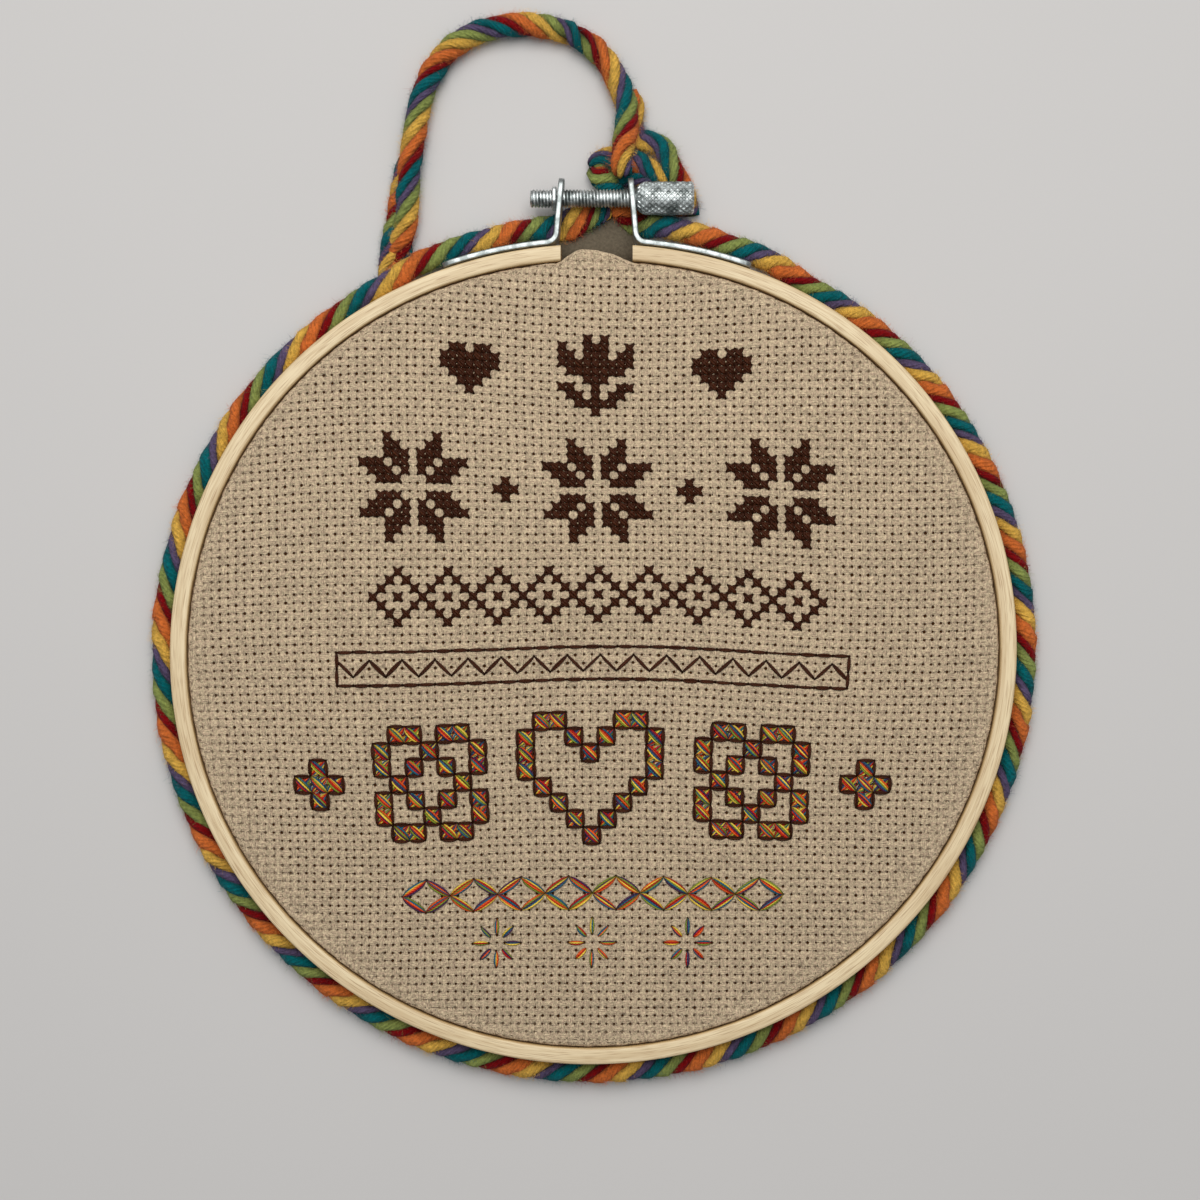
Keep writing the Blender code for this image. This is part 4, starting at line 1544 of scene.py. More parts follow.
@dataclass
class Sampler:
    """The stitched design: generic motifs in brown cross-stitch, six-colour filling and long stitches."""

    weave: Weave
    star_arm: int = 3
    star_places: tuple[int, ...] = (-22, 0, 22)
    star_v: int = 19
    chain_v: int = 6
    chain_half: int = 27
    band_half: int = 31
    band_top: int = 0
    band_rows: int = 4
    diamond_v: int = -30
    burst_v: int = -36
    burst_start: float = 0.34
    cross_spread: float = 0.5 * MM
    under_lift: float = 0.26 * MM
    over_lift: float = 0.52 * MM
    outline_spread: float = 0.4 * MM
    outline_lift: float = 0.46 * MM
    line_spread: float = 0.3 * MM
    line_lift: float = 0.24 * MM
    long_lift: float = 0.4 * MM
    fill_strands: int = 5
    pair: tuple[Shade, Shade] = (Shade.BROWN, Shade.BROWN)
    rainbow: tuple[Shade, ...] = tuple(shade for shade in Shade if shade.name.startswith("FLOSS"))

    def star(self, middle_u: int, middle_v: int) -> list[Spot]:
        """The blocks of an eight-pointed star of slanted petals.

        Args:
            middle_u, middle_v: its middle block.

        Returns:
            Their lower left corners.
        """
        found = []
        for x in range(1, self.star_arm + 1):
            for y in range(x + 1, x + self.star_arm + 1):
                for one, two in ((x, y), (y, x)):
                    found += [(middle_u + a * one, middle_v + b * two) for a in (-1, 1) for b in (-1, 1)]
        return found

    def chain(self) -> list[Spot]:
        """The blocks of a chain of diamonds.

        Returns:
            Their lower left corners.
        """
        found = []
        for u in range(-self.chain_half, self.chain_half + 1):
            near = abs((u + 3) % 6 - 3)
            for v in range(-3, 4):
                if near + abs(v) == 3 or near + abs(v) == 0:
                    found.append((u, self.chain_v + v))
        return found

    def crosses(self) -> list[Spot]:
        """All brown crosses.

        Returns:
            The lower left corners of their blocks.
        """
        found = Motif.TULIP.blocks(-4, 39)
        for left in (-18, 12):
            found += Motif.SMALL_HEART.blocks(left, 37)
        for place in self.star_places:
            found += self.star(place, self.star_v)
        for left in (-12, 10):
            found += Motif.LITTLE_CROSS.blocks(left, self.star_v + 2)
        return found + self.chain()

    def cross_stitches(self) -> Stitcher:
        """Brown crosses of two strands a leg.

        Returns:
            The strands.
        """
        work = Stitcher("cross_stitches", self.weave, seed=11, width=0.6 * MM, height=0.42 * MM)
        for u, v in self.crosses():
            work.lay((u, v), (u + 1, v + 1), self.pair, self.cross_spread, self.under_lift)
            work.lay((u, v + 1), (u + 1, v), self.pair, self.cross_spread, self.over_lift)
        return work

    def filled_blocks(self) -> list[Spot]:
        """The six-colour blocks, two by two blocks of the weave each.

        Returns:
            Their lower left corners.
        """
        found = Motif.HEART_LINE.blocks(-9, -8, 2)
        for left in (-27, 13):
            found += Motif.FLOWER.blocks(left, -9, 2)
        for left in (-37, 31):
            found += Motif.LITTLE_CROSS.blocks(left, -13, 2)
        return found

    def filling(self) -> Stitcher:
        """Large crosses whose legs are bundles of strands in all the colours.

        Returns:
            The strands.
        """
        work = Stitcher("filled_stitches", self.weave, seed=23, width=0.42 * MM, height=0.32 * MM)
        draw = np.random.default_rng(7)
        legs = (
            ((0, 0), (2, 2), 0.3),
            ((1, 0), (2, 1), 0.24),
            ((0, 1), (1, 2), 0.24),
            ((0, 2), (2, 0), 0.62),
        )
        for u, v in self.filled_blocks():
            for start, end, lift in legs:
                long_leg = abs(end[0] - start[0]) == 2
                count, spread = (self.fill_strands, 1.35 * MM) if long_leg else (3, 0.8 * MM)
                order = [self.rainbow[index] for index in draw.permutation(len(self.rainbow))[:count]]
                work.lay((u + start[0], v + start[1]), (u + end[0], v + end[1]), order, spread, lift * MM)
        return work

    def outlines(self) -> Stitcher:
        """Brown backstitch: round the filled motifs, and the band of two lines with a zigzag between them.

        Returns:
            The strands.
        """
        work = Stitcher("outline_stitches", self.weave, seed=31, width=0.48 * MM, height=0.36 * MM)
        blocks = set(self.filled_blocks())
        sides = (
            ((-2, 0), (0, 0), (0, 2)),
            ((2, 0), (2, 0), (2, 2)),
            ((0, -2), (0, 0), (2, 0)),
            ((0, 2), (0, 2), (2, 2)),
        )
        for u, v in sorted(blocks):
            for beside, start, end in sides:
                if (u + beside[0], v + beside[1]) not in blocks:
                    first, last = (u + start[0], v + start[1]), (u + end[0], v + end[1])
                    work.lay(first, last, self.pair, self.outline_spread, self.outline_lift)
        low = self.band_top - self.band_rows
        middle = self.band_top - self.band_rows / 2
        steps = range(-self.band_half, self.band_half, 2)
        lines = [((u, v), (u + 2, v)) for u in steps for v in (self.band_top, low)]
        for v in (self.band_top - 2, low):
            lines += [((u, v), (u, v + 2)) for u in (-self.band_half, self.band_half)]
        for number, u in enumerate(steps):
            fall = 1 if number % 2 else -1
            lines.append(((u, middle - fall), (u + 2, middle + fall)))
        for first, last in lines:
            work.lay(first, last, self.pair, self.line_spread, self.line_lift)
        return work

    def long_stitches(self) -> Stitcher:
        """Long six-colour stitches: a row of diamonds and three bursts below it.

        Returns:
            The strands.
        """
        work = Stitcher("long_stitches", self.weave, seed=43, width=0.42 * MM, height=0.34 * MM)
        draw = np.random.default_rng(19)

        def bundle(start: Spot, end: Spot, count: int, spread: float) -> None:
            """One stitch of strands in shuffled colours."""
            order = [self.rainbow[index] for index in draw.permutation(len(self.rainbow))[:count]]
            work.lay(start, end, order, spread * MM, self.long_lift)

        row, burst, start = self.diamond_v, self.burst_v, self.burst_start
        for u in range(-24, 24, 6):
            for fall in (2, -2):
                bundle((u, row), (u + 3, row + fall), self.fill_strands, 1.25)
                bundle((u + 3, row + fall), (u + 6, row), self.fill_strands, 1.25)
        for u in (-12, 0, 12):
            for x, y in ((3, 0), (2, 2), (0, 3), (-2, 2), (-3, 0), (-2, -2), (0, -3), (2, -2)):
                bundle((u + x * start, burst + y * start), (u + x, burst + y), 3, 0.6)
        return work

    def build(self, brown: Material, colours: Material) -> list[Object]:
        """All the stitched pieces.

        Args:
            brown: the brown floss.
            colours: the six-colour floss.

        Returns:
            The placed pieces.
        """
        return [
            self.cross_stitches().build(brown),
            self.filling().build(colours),
            self.outlines().build(brown),
            self.long_stitches().build(colours),
        ]


# The cords --------------------

RIM_START = math.radians(72)
RIM_END = math.radians(-252)
RIM_STEP = math.radians(6)
RIM_CENTRE = 95.6 * MM
RIM_LOW_Z = 2.85 * MM
RIM_HALF = (2.5 * MM, 2.75 * MM)
OVER_STRIPS = 1.9 * MM
STRIP_RAMP = (math.radians(62), math.radians(66.5), math.radians(112.3), math.radians(117))
HUMP = 2.4 * MM
HUMP_TURN = math.radians(117.5)
HUMP_HALF = math.radians(9)

# The cords' routes, in millimetres about the hoop's centre: x, y, z, half width, half height.
# The rows near the knot are drawn anew, nearer to the real one than in the part.
# The others are as in the part.
RIM_FROM_LOBE = (
    (0.5, 107.3, 1.4, 1.9, 1.2),
    (0.5, 106.1, 2.1, 2.3, 1.8),
    (1.4, 105.2, 2.5, 2.5, 2.1),
    (2.7, 104.4, 2.4, 2.6, 2.1),
    (4.3, 102.5, 2.1, 2.6, 1.9),
    (5.4, 100.3, 1.9, 2.6, 1.75),
    (6.5, 98.2, 1.8, 2.6, 1.65),
    (8.2, 96.1, 1.2, 2.8, 1.1),
    (10.6, 94.8, 1.2, 2.9, 1.05),
    (12.7, 94.1, 1.9, 2.7, 1.8),
    (15.4, 93.9, 2.6, 2.5, 2.45),
    (19.0, 93.3, 2.85, 2.5, 2.75),
)
RIM_TO_END = (
    (-20.4, 91.9, 2.85, 2.5, 2.75),
    (-15.9, 93.0, 2.8, 2.5, 2.65),
    (-12.4, 93.6, 2.3, 2.55, 2.2),
    (-10.0, 93.9, 1.5, 2.8, 1.4),
    (-8.3, 94.0, 1.2, 2.9, 1.05),
    (-6.5, 94.4, 1.3, 3.2, 1.15),
    (-5.0, 94.9, 1.7, 3.6, 1.6),
    (-2.8, 95.7, 1.85, 3.3, 1.75),
    (-0.6, 96.4, 1.85, 2.8, 1.7),
    (1.4, 97.0, 1.75, 2.5, 1.6),
    (2.7, 98.0, 1.6, 2.1, 1.4),
    (3.1, 99.3, 1.4, 1.7, 1.2),
)
# Where yellow is on top of the rim cord, in degrees about the hoop's centre.
RIM_YELLOW = (
    (64.8, 52.2, 39.6, 27.8, 16.1, 4.6, -7.0, -19.4, -32.5, -46.6, -60.1, -72.7)
    + (-84.9, -97.8, -111.5, -124.4, -137.4, -150.5, -164.6, -180.8, -195.4, -209.9, -225.2, -241.5)
)
FREE_SECTION = (2.85, 2.6, 2.75)
LOOP_BOW = (
    ((-41.6, 94.9), (-41.2, 99.5), (-40.9, 104.4), (-40.3, 109.5), (-39.7, 114.4), (-38.9, 119.3))
    + ((-37.4, 124.4), (-35.0, 129.3), (-31.6, 133.6), (-27.2, 136.6), (-21.7, 138.3), (-14.8, 138.9))
    + ((-9.7, 138.4), (-5.7, 137.2), (-1.9, 135.2), (1.5, 132.4))
)
HANGER = (
    (-43.5, 82.9, 1.05, 2.9, 0.95),
    (-43.3, 87.2, 1.1, 2.9, 0.95),
    (-42.4, 91.2, 2.3, 2.6, 2.2),
    *((x, y, *FREE_SECTION) for x, y in LOOP_BOW),
    (4.2, 128.9, 2.9, 2.6, 2.75),
    (6.2, 124.8, 3.1, 2.6, 2.7),
    (7.5, 120.7, 3.6, 2.6, 2.6),
    (7.7, 116.7, 4.5, 2.6, 2.5),
    (7.1, 113.0, 5.7, 2.55, 2.45),
    (6.6, 109.8, 6.6, 2.5, 2.4),
    (6.5, 107.4, 6.8, 2.4, 2.3),
    (6.7, 105.6, 6.4, 2.3, 2.2),
    (7.0, 104.4, 5.9, 2.0, 1.9),
)
KNOT_LOBE = (
    (8.3, 124.2, 1.9, 1.6, 1.4),
    (9.0, 121.4, 2.0, 2.3, 1.8),
    (8.9, 118.0, 2.0, 2.4, 1.9),
    (9.3, 115.0, 2.1, 2.4, 1.9),
    (10.7, 113.3, 2.3, 2.4, 2.1),
    (12.7, 112.9, 2.5, 2.4, 2.3),
    (14.6, 112.2, 2.6, 2.4, 2.4),
    (16.0, 110.6, 2.6, 2.4, 2.4),
    (17.0, 108.6, 2.6, 2.4, 2.4),
    (18.0, 106.2, 2.4, 2.4, 2.3),
    (19.2, 103.8, 1.8, 2.5, 1.65),
    (20.2, 101.4, 1.2, 2.6, 1.05),
    (21.0, 98.9, 1.1, 2.6, 0.95),
    (21.2, 96.6, 1.3, 2.5, 1.1),
)
# Short lengths of the same cord: over the knot's left lobe, through its right one, below it, and behind the
# loop's foot.
KNOT_TOP = (
    (-0.1, 107.2, 1.7, 1.9, 1.5),
    (0.9, 108.5, 2.2, 2.1, 1.7),
    (2.7, 109.3, 2.3, 2.2, 1.8),
    (4.8, 109.4, 2.2, 2.4, 1.9),
    (6.8, 108.7, 2.0, 2.4, 1.8),
    (9.0, 107.6, 1.9, 2.3, 1.8),
)
KNOT_ACROSS = (
    (7.0, 109.4, 2.6, 2.2, 1.9),
    (9.6, 108.4, 2.6, 2.4, 2.1),
    (12.2, 107.0, 2.3, 2.4, 2.0),
    (14.8, 105.4, 1.9, 2.4, 1.8),
    (17.2, 104.0, 1.7, 2.3, 1.6),
)
KNOT_LOW = (
    (3.2, 104.6, 1.5, 2.0, 1.4),
    (6.2, 105.2, 1.6, 2.3, 1.5),
    (9.6, 105.4, 1.6, 2.3, 1.5),
    (13.0, 104.5, 1.6, 2.3, 1.5),
    (16.4, 103.0, 1.5, 2.1, 1.4),
)
LOOP_TAIL = (
    (-45.9, 82.2, 1.0, 2.3, 0.9),
    (-45.4, 86.6, 1.1, 2.4, 1.0),
    (-44.6, 91.0, 1.5, 2.5, 1.4),
    (-43.6, 96.0, 1.6, 2.5, 1.5),
    (-42.8, 101.0, 1.6, 2.4, 1.5),
    (-42.2, 106.0, 1.6, 2.3, 1.5),
    (-41.6, 110.0, 1.6, 1.8, 1.4),
)


def in_metres(rows: Rows) -> list[tuple[float, ...]]:
    """A route's table in metres."""
    return [tuple(value * MM for value in row) for row in rows]


def rim_rows() -> list[tuple[float, ...]]:
    """The rim cord's route: from the knot, clockwise round the ring, to its end below the shank.

    Returns:
        Its rows in metres.
    """
    rows = in_metres(RIM_FROM_LOBE)
    right_out, right_in, left_in, left_out = STRIP_RAMP
    for angle in np.linspace(RIM_START, RIM_END, round((RIM_START - RIM_END) / RIM_STEP) + 1):
        over = np.interp(angle % math.tau, (right_out, right_in, left_in, left_out), (0.0, 1.0, 1.0, 0.0))
        x, y, _ = OUTLINE.at(RIM_CENTRE, angle, 0.0, OVER_STRIPS * over) - HOOP_CENTRE
        away = angle_from(angle, HUMP_TURN)
        lift = HUMP * math.cos(away / HUMP_HALF * math.pi / 2) ** 2 if abs(away) < HUMP_HALF else 0.0
        rows.append((float(x), float(y), RIM_LOW_Z + lift, *RIM_HALF))
    return rows + in_metres(RIM_TO_END)


BREADTH = {
    Shade.YELLOW: 1.12,
    Shade.ORANGE: 1.18,
    Shade.RED: 0.82,
    Shade.GREEN: 1.02,
    Shade.TEAL: 1.04,
    Shade.PURPLE: 0.82,
}


@dataclass(frozen=True)
class Mark:
    """A place on a cord where one colour is on top, in millimetres about the hoop's centre."""

    x: float
    y: float
    shade: Shade


def rim_marks() -> tuple[Mark, ...]:
    """The places where the rim cord's colours are on top, from the knot, round the ring, to the end.

    Returns:
        The marks in their order.
    """
    marks = [
        Mark(0.9, 105.7, Shade.RED),
        Mark(4.1, 102.9, Shade.TEAL),
        Mark(7.0, 97.5, Shade.ORANGE),
        Mark(15.0, 94.0, Shade.TEAL),
        Mark(21.8, 92.7, Shade.YELLOW),
    ]
    for degrees in RIM_YELLOW:
        angle = math.radians(degrees)
        far = RIM_CENTRE * float(OUTLINE.factor(angle)) / MM
        marks.append(Mark(far * math.cos(angle), far * math.sin(angle), Shade.YELLOW))
    last = (Mark(-22.6, 91.9, Shade.YELLOW), Mark(-5.4, 94.8, Shade.YELLOW), Mark(-1.8, 96.0, Shade.ORANGE))
    return (*marks, *last, Mark(2.0, 97.4, Shade.TEAL))


def smooth_route(rows: Rows, step: float, fine_steps: int = 20) -> Array:
    """Points at even steps along a smooth curve through the rows; widths follow along.

    Args:
        rows: x, y, z, half width and half height.
        step: about how far apart.
        fine_steps: finer steps in each row, for the length.

    Returns:
        The rows at even steps.
    """
    rows = np.array(rows)
    knots = distances(rows[:, :3])
    gaps = np.diff(knots)[:, None]
    slopes = np.diff(rows, axis=0) / gaps
    tangents = np.empty_like(rows)
    tangents[1:-1] = (slopes[:-1] * gaps[1:] + slopes[1:] * gaps[:-1]) / (gaps[:-1] + gaps[1:])
    tangents[0], tangents[-1] = slopes[0], slopes[-1]

    def at(places: Array) -> Array:
        """The curve at places along its chords.

        Args:
            places: distances along the chords.

        Returns:
            One row for each place.
        """
        index = np.clip(np.searchsorted(knots, places) - 1, 0, len(gaps) - 1)
        gap = gaps[index]
        share = (places[:, None] - knots[index][:, None]) / gap
        square, cube = share**2, share**3
        return (
            rows[index] * (2 * cube - 3 * square + 1)
            + tangents[index] * gap * (cube - 2 * square + share)
            + rows[index + 1] * (3 * square - 2 * cube)
            + tangents[index + 1] * gap * (cube - square)
        )

    fine = np.linspace(0.0, knots[-1], fine_steps * len(rows))
    points = at(fine)
    far = distances(points[:, :3])
    return at(np.interp(np.linspace(0.0, far[-1], math.ceil(far[-1] / step) + 1), far, fine))


@dataclass
class LaidCord:
    """A twisted cord of six soft strands along a route."""

    name: str
    node: str
    rows: Rows
    hand: Hand
    order: tuple[Shade, ...]
    marks: tuple[Mark, ...]
    seed: int
    hair_count: int
    lay: float = 19.8 * MM
    step: float = 0.95 * MM
    sides: int = 14
    later: tuple[Shade, ...] = ()
    later_from: float = 0.0
    later_over: float = 9 * MM
    shear: float = 0.4
    upright: float = 0.0
    strand_out: float = 0.62
    strand_deep: float = 0.4
    strand_wide: float = 0.43
    strand_turn: float = 17 * MM
    lobes: int = 6
    lobe: float = 0.04
    out_even: float = 0.8
    deep_even: float = 0.45
    lean_reach: float = 1.05
    lean_slope: float = 1.4 * MM
    lean_curl: float = 1.9 * MM
    wobble: float = 0.03
    uneven: float = 0.05
    waves: tuple[float, ...] = (31 * MM, 13 * MM, 6 * MM)
    hair_width: float = 0.04 * MM
    hair_shortest: float = 0.3
    hair_longest: float = 1.5
    hair_beside: float = 0.7
    root_depth: float = 0.1 * MM
    hair_z: float = 0.06 * MM
    valley_shade: float = 0.18
    tapered: bool = True
    tip: float = 2.2 * MM
    tip_least: float = 0.02
    lean_start: float = 6 * MM
    lean_end: float = 8 * MM
    deepest: float = 0.61
    crown: float = 0.44
    least_z: float = 0.05 * MM

    def frame(self) -> tuple[Array, Array, Array, Array]:
        """The smooth route and its directions.

        Returns:
            The route's rows, the distances along it, and the directions to its side and up.
        """
        route = smooth_route(self.rows, self.step)
        along = along_lines(route[:, :3])
        side = unit(np.cross((0.0, 0.0, 1.0), along))
        return route, distances(route[:, :3]), side, np.cross(along, side)

    def places(self, order: tuple[Shade, ...]) -> Array:
        """Where in a turn of the lay each strand is on top; the thicker strands take more of it.

        Args:
            order: the strands as they come round.

        Returns:
            A share of a turn for each strand.
        """
        wide = np.array([BREADTH[shade] for shade in order])
        middle = np.cumsum(wide) - wide / 2
        share = dict(zip(order, (middle - middle[0]) / wide.sum()))
        return np.array([share[shade] for shade in self.order])

    def shares(self, far: Array) -> Array:
        """The strands' places in the lay, from the first order to the later one.

        Args:
            far: distances along.

        Returns:
            (strand, point) shares of a turn.
        """
        early, late = self.places(self.order), self.places(self.later or self.order)
        change = np.clip((far - self.later_from) / self.later_over, 0, 1)
        change = change * change * (3 - 2 * change)
        return early[:, None] * (1 - change) + late[:, None] * change

    def dip(self, far: Array) -> Array:
        """How a strand that changes its place passes below the others.

        Args:
            far: distances along.

        Returns:
            (strand, point, 1) shares of its distance from the cord's middle.
        """
        early, late = self.places(self.order), self.places(self.later or self.order)
        crossing = np.abs(late - early) > 0.25
        change = np.clip((far - self.later_from) / self.later_over, 0, 1)
        return 1 - 0.5 * (crossing[:, None] * np.sin(math.pi * change))[..., None]

    def turns(self, route: Array, far: Array) -> Array:
        """The turns of the lay, so that each mark has its colour on top.

        Args:
            route: the route's rows.
            far: distances along it.

        Returns:
            How many turns there are up to each row.
        """
        knots = []
        for mark in self.marks:
            near = np.hypot(route[:, 0] - mark.x * MM, route[:, 1] - mark.y * MM).argmin()
            share = float(self.shares(far[near : near + 1])[self.order.index(mark.shade), 0])
            knots.append((far[near], share))
        knots.sort()
        places, counts = [knots[0][0]], [knots[0][1]]
        for place, share in knots[1:]:
            wanted = counts[-1] + (place - places[-1]) / self.lay
            counts.append(round(wanted - share) + share)
            places.append(place)
        before, after = (0.0 - places[0]) / self.lay, (far[-1] - places[-1]) / self.lay
        places = [0.0, *places, far[-1]] if places[0] > 0 else [*places, far[-1]]
        counts = [counts[0] + before, *counts, counts[-1] + after]
        return np.interp(far, places, counts[-len(places):])

    def strands(self) -> tuple[Array, Array, Array, Array]:
        """The strands' surfaces.

        Returns:
            The points and their outward directions, both (strand, ring, side, 3), the rings' distances along
            the cord, and (strand, ring, side) shares from 0 in the valleys to 1 on the crowns.
        """
        route, far, side, up = self.frame()
        turns = self.turns(route, far)
        draw = np.random.default_rng(self.seed)
        count = len(self.order)
        breadth = np.array([BREADTH[shade] for shade in self.order])[:, None, None]
        wobble = self.slow(draw, far, count, self.wobble)
        turn = self.hand.value * math.tau * (turns - self.shares(far)) + wobble + math.pi / 2
        corner = math.tau * np.arange(self.sides) / self.sides
        round_it = corner + self.hand.value * far[None, :, None] * math.tau / self.strand_turn
        fat = breadth * (1 + self.slow(draw, far, count, self.uneven)[..., None])
        ridge = fat * (1 + self.lobe * np.cos(self.lobes * corner))
        out = self.strand_out * (self.out_even + (1 - self.out_even) * fat) * self.dip(far)
        deep = self.strand_deep * (self.deep_even + (1 - self.deep_even) * ridge) * np.cos(round_it)
        wide = self.strand_wide * ridge * np.sin(round_it)
        if self.tapered:
            ends = np.clip(np.minimum(far, far[-1] - far) / self.tip, self.tip_least, 1)
            shrink = np.sqrt(1 - (1 - ends) ** 2)[None, :, None]
            deep, wide = deep * shrink, wide * shrink
        cosine, sine = np.cos(turn)[..., None], np.sin(turn)[..., None]
        cross_x = (out + deep) * cosine - wide * sine
        cross_y = (out + deep) * sine + wide * cosine
        leaning = np.clip(far / self.lean_start, 0, 1)
        leaning = leaning * np.clip((far[-1] - far - self.upright) / self.lean_end, 0, 1)
        sideways = np.clip(cross_x, -self.lean_reach, self.lean_reach)
        curve = self.lean_slope * sideways + self.lean_curl * sideways**5
        where = far[None, :, None] + self.hand.value * self.shear * leaning[None, :, None] * curve

        def moved(values: Array) -> Array:
            """A column of the route at the leaning places."""
            return np.stack([np.interp(where, far, column) for column in values.T], axis=-1)

        half = moved(route[:, 3:5])
        beside = moved(side) * (cross_x * half[..., 0])[..., None]
        above = moved(up) * (cross_y * half[..., 1])[..., None]
        points = moved(route[:, :3]) + beside + above
        depth = np.clip((np.hypot(cross_x, cross_y) - self.deepest) / self.crown, 0, 1)
        return points, unit(points - points.mean(axis=2, keepdims=True)), far, depth

    def slow(self, draw: np.random.Generator, far: Array, count: int, size: float) -> Array:
        """Slow random waves along the cord.

        Args:
            draw: the seeded source.
            far: distance along.
            count: how many strands.
            size: about how large.

        Returns:
            (strands, points) values about 0.
        """
        total = np.zeros((count, len(far)))
        for length in self.waves:
            phase = draw.random((count, 1)) * math.tau
            total += size * np.sin(far[None] / length * math.tau + phase)
        return total

    def build(self, finish: Material) -> Object:
        """The cord.

        Args:
            finish: the yarn.

        Returns:
            The placed cord.
        """
        points, _, far, depth = self.strands()
        points = points + HOOP_CENTRE
        points[..., 2] = np.maximum(points[..., 2], self.least_z)
        lay = stacked(far[:, None], np.linspace(0, 1, self.sides + 1))
        shadow = self.valley_shade + (1 - self.valley_shade) * depth * depth * (3 - 2 * depth)
        tint = np.array([shade.value for shade in self.order])[:, None, None] * shadow[..., None]
        book = Layout()
        lay = np.broadcast_to(lay, (len(self.order), *lay.shape))
        book.add_grid(points, lay, tint=np.broadcast_to(tint, points.shape))
        mesh = turned_out(book.mesh(self.name, [finish]))
        return Piece(self.name, slot="yarn", replaces=(self.node,) if self.node else ()).place(mesh)

    def fuzz(self, finish: Material) -> Object:
        """Fine hairs that stand out of the strands.

        Args:
            finish: the hairs' finish.

        Returns:
            The placed hairs.
        """
        points, outward, _, depth = self.strands()
        draw = np.random.default_rng(self.seed + 1)
        count = self.hair_count
        depth[:, [0, 1, 2, -3, -2, -1]] = 0.0
        beside = np.flatnonzero((depth > 0.45) & (np.abs(outward[..., 2]) < 0.5))
        above = np.flatnonzero((depth > 0.55) & (outward[..., 2] >= 0.5))
        low = round(count * self.hair_beside)
        outer = np.concatenate([draw.choice(beside, low), draw.choice(above, count - low)])
        strand, ring, corner = np.unravel_index(outer, depth.shape)
        root = points[strand, ring, corner] + HOOP_CENTRE
        out = outward[strand, ring, corner]
        longer = self.hair_longest - self.hair_shortest
        length = MM * (self.hair_shortest + longer * draw.random(count) ** 1.8)[:, None]
        drift = draw.standard_normal((count, 3))
        middle = root + out * length * 0.32 + drift * length * 0.3
        tip = middle + (out * 0.15 + drift * 0.25 + draw.standard_normal((count, 3)) * 0.5) * length * 0.6
        across = draw.standard_normal((count, 3))
        across *= 0.5 * self.hair_width / np.linalg.norm(across, axis=1, keepdims=True)
        line = np.stack([root - out * self.root_depth, middle + across, tip, middle - across], axis=1)
        line[..., 2] = np.maximum(line[..., 2], self.hair_z)
        tint = np.array([shade.value for shade in self.order])[strand]
        bright = np.minimum(tint * (0.8 + 0.45 * draw.random((count, 1))) + 0.01, 1.0)
        name = f"{self.name}_hairs"
        book = Layout()
        book.add_faces(book.add_points(line, bright[:, None, :]), np.zeros((count, 4, 2)))
        return Piece(name, slot="yarn").place(book.mesh(name, [finish]))


RIM_ORDER = (Shade.YELLOW, Shade.ORANGE, Shade.RED, Shade.GREEN, Shade.TEAL, Shade.PURPLE)
KNOT_ORDER = (Shade.TEAL, Shade.GREEN, Shade.RED, Shade.ORANGE, Shade.YELLOW, Shade.PURPLE)
LOOP_ORDER = (Shade.ORANGE, Shade.YELLOW, Shade.GREEN, Shade.PURPLE, Shade.TEAL, Shade.RED)
LATER_LOOP_ORDER = (Shade.ORANGE, Shade.YELLOW, Shade.PURPLE, Shade.TEAL, Shade.GREEN, Shade.RED)
MIXED_ORDER = (Shade.PURPLE, Shade.TEAL, Shade.YELLOW, Shade.RED, Shade.GREEN, Shade.ORANGE)

LOOP_MARKS = (
    Mark(-39.2, 90.1, Shade.ORANGE),
    Mark(-38.9, 110.6, Shade.ORANGE),
    Mark(-33.5, 131.0, Shade.ORANGE),
    Mark(-14.8, 138.8, Shade.ORANGE),
    Mark(2.4, 131.0, Shade.ORANGE),
    Mark(7.0, 110.6, Shade.ORANGE),
)
LOBE_MARKS = (
    Mark(9.0, 121.0, Shade.ORANGE),
    Mark(12.4, 113.0, Shade.PURPLE),
    Mark(16.0, 110.6, Shade.TEAL),
    Mark(17.9, 106.6, Shade.GREEN),
    Mark(19.1, 104.0, Shade.RED),
    Mark(20.2, 101.6, Shade.ORANGE),
    Mark(21.1, 97.6, Shade.YELLOW),
)
TOP_MARKS = (Mark(1.3, 108.8, Shade.TEAL), Mark(4.2, 109.5, Shade.PURPLE))
ACROSS_MARKS = (
    Mark(10.0, 108.2, Shade.PURPLE),
    Mark(12.2, 107.0, Shade.TEAL),
    Mark(15.0, 105.3, Shade.YELLOW),
)
LOW_MARKS = (Mark(4.6, 104.9, Shade.GREEN), Mark(13.6, 104.3, Shade.PURPLE))
TAIL_MARKS = (Mark(-44.3, 93.2, Shade.TEAL), Mark(-42.8, 101.6, Shade.ORANGE))


def fillers() -> list[LaidCord]:
    """The short cords that fill the knot, and the one behind the loop's foot.

    Returns:
        The cords.
    """
    knot = (
        ("knot_top", KNOT_TOP, Hand.RIGHT, RIM_ORDER, TOP_MARKS, 11, 1800),
        ("knot_across", KNOT_ACROSS, Hand.RIGHT, MIXED_ORDER, ACROSS_MARKS, 12, 1800),
        ("knot_low", KNOT_LOW, Hand.LEFT, RIM_ORDER, LOW_MARKS, 14, 1500),
    )
    cords = [LaidCord(name, "", in_metres(rows), *others, step=0.5 * MM) for name, rows, *others in knot]
    tail = in_metres(LOOP_TAIL)
    return [*cords, LaidCord("loop_tail", "", tail, Hand.RIGHT, LATER_LOOP_ORDER, TAIL_MARKS, 13, 3500)]


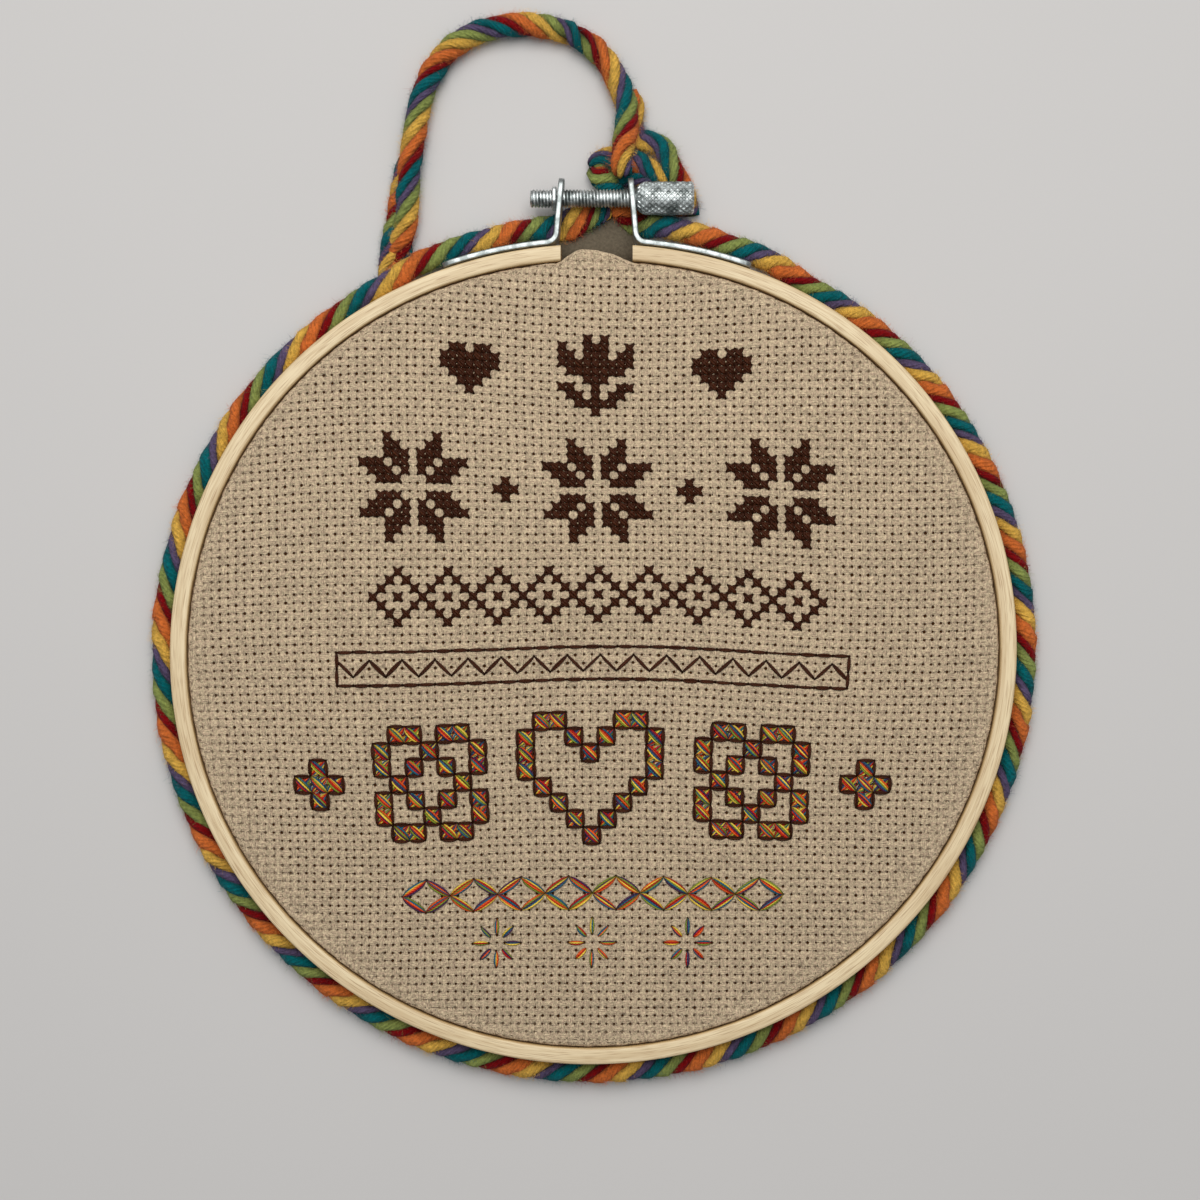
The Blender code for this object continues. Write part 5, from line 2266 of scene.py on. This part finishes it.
@dataclass
class Hanger(LaidCord):
    """The hanging loop, the one free cord."""

    diameter: float = 5.5 * MM
    length: float = 0.117

    def declare(self, made: Object) -> None:
        """Work out the loop's route in the part's frame; nothing more is done with it."""
        route = self.frame()[0][:, :3] + HOOP_CENTRE


# The setting --------------------


@dataclass
class Studio:
    """The camera, the light and the pale board under the hoop."""

    camera_at: Vector = Vector((10.0, -0.2, 510.0)) * MM
    looks_at: Vector = Vector((1.75, 1.84, 10.0)) * MM
    lens: float = 68.6
    board_half: float = 8.0
    board_z: float = -0.15 * MM
    dim: Colour = (0.13, 0.125, 0.12)
    bright: Colour = (0.97, 0.99, 1.0)
    sky_power: float = 0.85
    window_at: Vector = Vector((0.0, 0.32, 0.68))
    window_size: float = 0.5
    window_power: float = 3.5
    window_tone: Colour = (1.0, 0.98, 0.95)

    def camera(self) -> None:
        """The camera, nearly straight above the hoop."""
        data = bpy.data.cameras.new("camera")
        data.lens = self.lens
        data.sensor_width = 36.0
        data.clip_start = 0.01
        made = linked("camera", data)
        back = (self.camera_at - self.looks_at).normalized()
        right = Vector((0.0, 1.0, 0.0)).cross(back).normalized()
        up = back.cross(right)
        turn = Matrix((right, up, back)).transposed().to_4x4()
        made.matrix_world = Matrix.Translation(self.camera_at) @ turn
        bpy.context.scene.camera = made

    def lamp(self) -> None:
        """The window, one soft lamp that looks at the hoop."""
        data = bpy.data.lights.new("window", "AREA")
        data.size = self.window_size
        data.energy = self.window_power
        data.color = self.window_tone
        made = linked("window", data)
        made.location = self.window_at
        made.rotation_euler = (-self.window_at).to_track_quat("-Z", "Y").to_euler()

    def light(self) -> None:
        """A room that is bright above and towards the window, and one soft lamp."""
        world = bpy.data.worlds.new("soft_room")
        world.use_nodes = True
        graph = Graph(world.node_tree)
        towards = graph.output(graph.node("ShaderNodeTexCoord", {}, {}))
        split = graph.node("ShaderNodeSeparateXYZ", {}, {0: towards})
        bright = (graph.output(split, 2) + graph.output(split, 1) * 0.2).between(0.35, 1.05)
        sky = world.node_tree.nodes["Background"]
        graph.feed(sky.inputs["Color"], graph.mix(bright, self.dim, self.bright))
        sky.inputs["Strength"].default_value = self.sky_power
        bpy.context.scene.world = world
        self.lamp()
        bpy.context.scene.view_settings.view_transform = "Standard"

    def board(self, finish: Material) -> None:
        """The surface that the hoop lies on.

        Args:
            finish: its finish.
        """
        half = self.board_half
        mesh = bpy.data.meshes.new("board")
        corners = [(-half, -half), (half, -half), (half, half), (-half, half)]
        mesh.from_pydata([(x, y, self.board_z) for x, y in corners], [], [(0, 1, 2, 3)])
        mesh.materials.append(finish)
        linked("board", mesh)


def main() -> None:
    """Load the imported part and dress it."""
    logging.basicConfig(level=logging.INFO, format="%(name)s %(message)s")
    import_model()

    studio = Studio()
    studio.camera()
    yarn = SoftYarn().material()
    hairs = Floss("yarn_hairs", roughness=0.9).material()
    hanger = Hanger(
        "hanger_yarn",
        "hanger_cord",
        in_metres(HANGER),
        Hand.RIGHT,
        LOOP_ORDER,
        LOOP_MARKS,
        seed=5,
        hair_count=17000,
        later=LATER_LOOP_ORDER,
        later_from=78 * MM,
        shear=0.3,
        step=0.8 * MM,
    )
    loop = hanger.build(yarn)
    hanger.declare(loop)
    rim = LaidCord(
        "rim_yarn",
        "rim_cord",
        rim_rows(),
        Hand.LEFT,
        RIM_ORDER,
        rim_marks(),
        seed=3,
        hair_count=76000,
        shear=0.74,
        upright=9 * MM,
    )
    rim.build(yarn)
    lobe = LaidCord(
        "knot_yarn",
        "knot_lobe",
        in_metres(KNOT_LOBE),
        Hand.RIGHT,
        KNOT_ORDER,
        LOBE_MARKS,
        seed=9,
        hair_count=7000,
        step=0.6 * MM,
        tapered=False,
    )
    lobe.build(yarn)
    short_cords = fillers()
    for cord in short_cords:
        cord.build(yarn)
    for cord in (hanger, rim, lobe, *short_cords):
        cord.fuzz(hairs)

    outer_finish = [Wood("wood_outer").material(), EndGrain().material()]
    inner_finish = [Wood("wood_inner", light=srgb(226, 202, 160)).material()]
    middle, half = 1.0 * MM, 7.9 * MM
    split = (middle - half, middle + half)
    outer = WoodenRing("outer_ring_wood", "outer_ring", 89.2 * MM, 92.8 * MM, 10.0 * MM, split=split)
    outer.build(outer_finish)
    inner = WoodenRing("inner_ring_wood", "inner_ring", 83.6 * MM, 87.6 * MM, 8.4 * MM)
    inner.build(inner_finish)

    zinc = Zinc("zinc_strip", srgb(188, 194, 194), 0.45).material()
    screw_zinc = Zinc("zinc_screw", srgb(238, 243, 243), 0.43, wavy=0.03 * MM).material()
    BentStrip("strip_left", "bracket_left", math.radians(111.2), -7.7 * MM, -6.6 * MM).build(zinc)
    BentStrip("strip_right", "bracket_right", math.radians(67.6), 9.4 * MM, 8.3 * MM).build(zinc)
    screw = Thumbscrew()
    screw.build(screw_zinc)
    SmallNut().build(screw, screw_zinc)

    weave = Weave()
    cloth = EvenWeaveCloth(weave).build([Linen().material(), ShadedTailLinen().material()])
    brown = Floss("brown_floss", roughness=0.6, gloss=0.16, sheen=0.0).material()
    colours = Floss("six_colour_floss", roughness=0.42, gloss=0.22, sheen=0.0).material()
    stitched = Sampler(weave).build(brown, colours)

    studio.light()
    studio.board(Backdrop().material())


if __name__ == "__main__":
    main()
